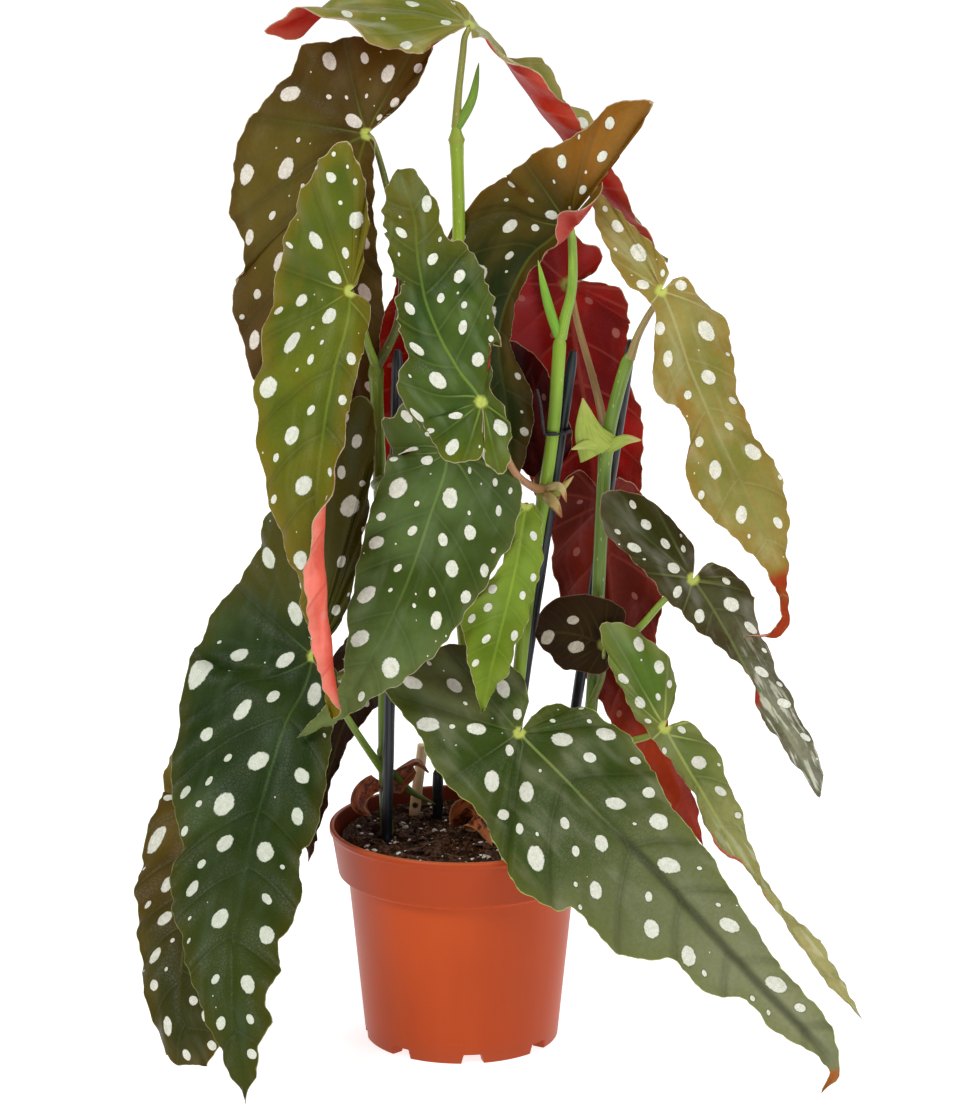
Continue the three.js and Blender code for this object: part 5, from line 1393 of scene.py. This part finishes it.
rightLowLeaf = {
    "name": "rightLowLeaf", "node": "leaf_right_low", "slot": "leaf", "seed": 17.3,
    "joinsAt": 1, "bendWidth": 30,
    "dots": {"classes": [(2.6, 4, 6.4, 120), (1.5, 2.3, 4.6, 90), (0.5, 1, 3.5, 20)]},
    "turned": (-16, -22, -22),
    "spine": [[75, -14, 185], [91, -24, 152], [107, -34, 126], [126, -46, 96], [151, -54, 62],
        [179, -60, 27]],
    "left": [[-4, 4], [-12, 12], [-23, 15], [-41, 10], [-54, -4], [-43, -10], [-13, -10], [3, -7], [30, -4],
        [56, -7], [72, -1], [103, -1], [136, -2]],
    "right": [[0, 4], [3, 11], [17, 15], [48, 11], [72, 5], [97, 3], [117, 7], [137, 4]],
    "stalk": [[55, 5, 125], [74, -8, 140], [84, -17, 146], [90, -22, 151]],
    "stalkLook": ("#7e9d2e", "#8c9d42"),
    # its pale streaks are painted sheen
    "look": {
        "sheen": "#8c9670", "sheened": 0.3, "streaks": (30, 70, "#cbd0b4", 0.35), "deep": "#4f611d",
        "light": "#6b7840", "patch": "#656d2e", "edge": "#80813e", "vein": "#a7b45e",
        "bands": [(-4, -20, "#4b651d"), (20, 55, "#8c8e55"), (50, 120, "#a69f69")],
        "blush": (48, 96, 1.6, "#b64c47"), "rim": "#a09a70",
    },
}
growLeaf(rightLowLeaf)

rightTanLeaf = {
    "name": "rightTanLeaf", "node": "leaf_right_tan", "slot": "leaf_olive", "seed": 18.6,
    "joinsAt": 1, "bendWidth": 30, "quilt": 0.65,
    "spine": [[61, -3, 391, -14, -18, -18], [88, -12, 348, -14, -18, -18], [101, -20, 314, -14, -18, -18],
        [114, -32, 285, -14, -18, -18], [128, -44, 257, -14, -18, -18], [139.5, -53, 224, -14, -18, -18],
        [142, -58, 213, -14, 20, 20], [137, -61, 206, -14, 30, 30], [123, -64, 204.5, -14, 30, 30]],
    "left": [[-5, 7], [-18, 7], [-38, 2], [-57, -2], [-36, -10], [-12, -12], [7, -7], [40, -18], [52, -11],
        [68, -13], [73, -19], [93, -21], [115, -12], [127, -6], [138, -2.4], [150, -2], [163, -1.8]],
    "right": [[-0.8, 5], [-1, 12], [9, 15], [22, 23], [35, 21], [57, 15], [77, 15], [98, 17], [120, 11],
        [134, 5.5], [142, 2.6], [152, 2], [164, 1.8]],
    "stalk": [[75, 0, 315], [78, -1, 325], [82, -4, 334], [88, -10, 346]],
    "stalkLook": ("#9d8c57", "#8c7a45"),
    "look": {
        "sheen": "#ada87d", "sheened": 0.4, "streaks": (-30, 10, "#967434", 0.35),
        "tip": (131, 138, "#8e2e07"), "deep": "#72702e", "light": "#948a4c", "patch": "#875e19",
        "patched": 0.75, "edge": "#876720", "edged": 0.5, "vein": "#aca770", "veinShade": "#695e23",
        "dot": "#e8e2d2", "red": "#b42307", "redDeep": "#960707", "redEdge": "#c54523",
    },
}
growLeaf(rightTanLeaf)

stubLeaf = {
    "name": "stubLeaf", "node": "leaf_dark_stub", "slot": "leaf", "seed": 19.1,
    "joinsAt": 0, "bendWidth": 30, "tooth": 0.15, "ruffle": 0.2, "quilt": 0.4,
    "dots": {
        "classes": [],
        "placed": [(16.2, -6.4, 2.4, 0.3, 1.25), (26.6, 2, 3.6, 0.75, 1.3), (11.8, 5.4, 4.1, 0.35, 1.5)],
    },
    "spine": [[64, -7, 186, 0, -12, -12], [52, -8, 190.5, 0, -14, -14], [42, -9, 192, 0, -14, -14],
        [33, -9, 191, 0, -10, -10]],
    "left": [[-4, -2], [-5, -9], [-4, -17], [3, -19.5], [13, -19], [23, -15], [29, -8]],
    "right": [[-5, 4], [-6, 9], [-1, 15], [10, 17], [21, 15], [29, 8]],
    "stalk": [[58, 5, 154], [63, -1, 168], [64, -6, 180]],
    "stalkLook": ("#697a29", "#53601d"),
    "look": {
        "sheen": "#2f200c", "sheened": 0.2, "gloss": 0.04, "deep": "#180c07", "light": "#291c07",
        "patch": "#241907", "edge": "#2f1c0c", "vein": "#373016", "veinShade": "#080707", "dot": "#a8a090",
        "dotShade": "#8f8674", "rim": "#6a5040", "spotted": 0.3,
    },
}
growLeaf(stubLeaf)


def drySkin(leaf, name):
    # curled papery brown: fine ribs and darker blotches
    look = leaf["look"]
    paint = Paint(name)
    a, b, rim = paint.stored("flatMap").parts()
    where = paint.vector(a, b, leaf["seed"])
    mottle = paint.noise(where, 0.35, 4, twist=0.4)
    ribs = paint.noise(paint.vector(a * 0.15, b * 1.6, leaf["seed"]), 1.0, 3)
    colour = paint.blend(mottle.ease(0.4, 0.58), look["deep"], look["light"])
    colour = paint.blend(ribs.ease(0.5, 0.7) * 0.5, colour, look["pale"])
    colour = paint.blend(rim.ease(1.5, 0.2) * 0.4, colour, look["pale"])
    return paint.surface({
        "Base Color": colour, "Roughness": 0.6 + (mottle - 0.5) * 0.2,
        "Normal": paint.bump(ribs + mottle, 0.0005, 0.7)})


def growDry(leaf):
    leaf = {**plainLeaf, **dryForm, **leaf}
    build = Build()
    growBlade(build, leaf, BladeForm(leaf))
    skin = drySkin(leaf, leaf["name"] + "Skin")
    build.piece(leaf["name"], [skin, skin, skin], leaf["node"], sharp=55)
    print("grown:", leaf["name"])


dryForm = {  # what the dry pieces share: few veins, a thin flat blade and no dots
    "joinsAt": 0, "veins": (2, 3), "columns": 9, "rays": 36, "tooth": 0.2,
    "wave": 0.3, "ruffle": 0.3, "quilt": 0.3, "crinkle": 0.3, "dots": {"classes": []},
}

dryLeaf = {
    "name": "dryLeaf", "node": "dry_leaf", "seed": 21.3, "bendWidth": 7,
    "spine": [[1, 12, 95.3, 20, 40, 50], [4, 4, 103.3, 10, 60, 40], [9, -4, 101.3, -10, 50, 70],
        [14, -12, 92.3, -30, 20, 30]],
    "left": [[1, -5], [9, -9], [18, -7], [25, -4]],
    "right": [[1, 5], [8, 10], [17, 9], [25, 4]],
    "look": {"deep": "#4c1e0c", "light": "#b8642c", "pale": "#d29a62"},
}
growDry(dryLeaf)

dryBud = {
    "name": "dryBud", "node": "dry_sheath", "seed": 22.7, "bendWidth": 6,
    "spine": [[-38, 8, 118, 0, 70, 60], [-42, 6, 114, 30, 80, 60], [-44, 4, 108, 50, 60, 80],
        [-42, 3, 102, 60, 30, 40]],
    "left": [[1, -4], [8, -7], [17, -6]],
    "right": [[1, 4], [9, 6], [18, 5]],
    "look": {"deep": "#561f12", "light": "#a4562c", "pale": "#c48c60"},
}
growDry(dryBud)

dryCurl = {
    "name": "dryCurl", "node": "dry_curl", "seed": 23.9, "bendWidth": 6,
    "spine": [[-32, 11, 111, 0, 40, 40], [-28, 14, 119, 20, 80, 70], [-21, 18, 124, 50, 90, 80],
        [-15, 19, 118, 60, 40, 40]],
    "left": [[1, -4], [9, -7], [19, -5]],
    "right": [[1, 4], [10, 8], [20, 5]],
    "look": {"deep": "#4a1a0c", "light": "#9c502c", "pale": "#c08450"},
}
growDry(dryCurl)


# plain pale floor, soft even light and the camera of the photo
def palePaper():
    paint = Paint("palePaper")
    where = paint.place()
    grain = paint.noise(where, 40, 2)
    colour = paint.blend(grain, (0.64, 0.64, 0.64, 1), (0.68, 0.68, 0.68, 1))
    return paint.surface({
        "Base Color": colour, "Roughness": 0.9,
        "Emission Color": (1.0, 1.0, 1.0, 1), "Emission Strength": 0.8})


floorEdges = {"left": -30, "right": 30, "near": -12, "far": 60}  # wide enough to fill every view


def layFloor():
    left, right, near, far = floorEdges.values()
    mesh = bpy.data.meshes.new("floorSheet")
    mesh.from_pydata([(left, near, 0), (right, near, 0), (right, far, 0), (left, far, 0)], [], [(0, 1, 2, 3)])
    mesh.materials.append(palePaper())
    floor = bpy.data.objects.new("floorSheet", mesh)
    bpy.context.scene.collection.objects.link(floor)


layFloor()

lamps = {
    "softKey": {"place": (-1.4, -1.6, 2.2), "wide": 1.1, "power": 44},
    "softFill": {"place": (1.7, -1.3, 1.1), "wide": 1.2, "power": 16},
    "softBack": {"place": (0.6, 1.8, 1.6), "wide": 1.2, "power": 12},
}
plantMiddle = Vector((0, 0, 0.26))  # what the lamps are turned to
skyStrength = 0.38


def hangLamps():
    for name, lamp in lamps.items():
        light = bpy.data.lights.new(name, "AREA")
        light.shape = "DISK"
        light.size = lamp["wide"]
        light.energy = lamp["power"]
        hung = bpy.data.objects.new(name, light)
        hung.location = lamp["place"]
        hung.rotation_euler = (plantMiddle - hung.location).to_track_quat("-Z", "Y").to_euler()
        bpy.context.scene.collection.objects.link(hung)
    world = bpy.data.worlds.new("evenSky")
    world.use_nodes = True
    sky = world.node_tree.nodes["Background"]
    sky.inputs["Color"].default_value = (1, 1, 1, 1)
    sky.inputs["Strength"].default_value = skyStrength
    bpy.context.scene.world = world


hangLamps()


view = {"place": (0.01068, -1.94059, 0.71019), "tilt": 76, "lens": 145.4, "sensor": 36, "reach": 200}


def setCamera():
    lens = bpy.data.cameras.new("photoCamera")
    lens.lens = view["lens"]
    lens.sensor_width = view["sensor"]
    lens.sensor_fit = "AUTO"
    lens.clip_end = view["reach"]
    camera = bpy.data.objects.new("photoCamera", lens)
    camera.location = view["place"]
    camera.rotation_euler = (math.radians(view["tilt"]), 0, 0)
    bpy.context.scene.collection.objects.link(camera)
    bpy.context.scene.camera = camera
    bpy.context.scene.view_settings.view_transform = "Standard"


setCamera()
print("set: floor, lamps and camera")
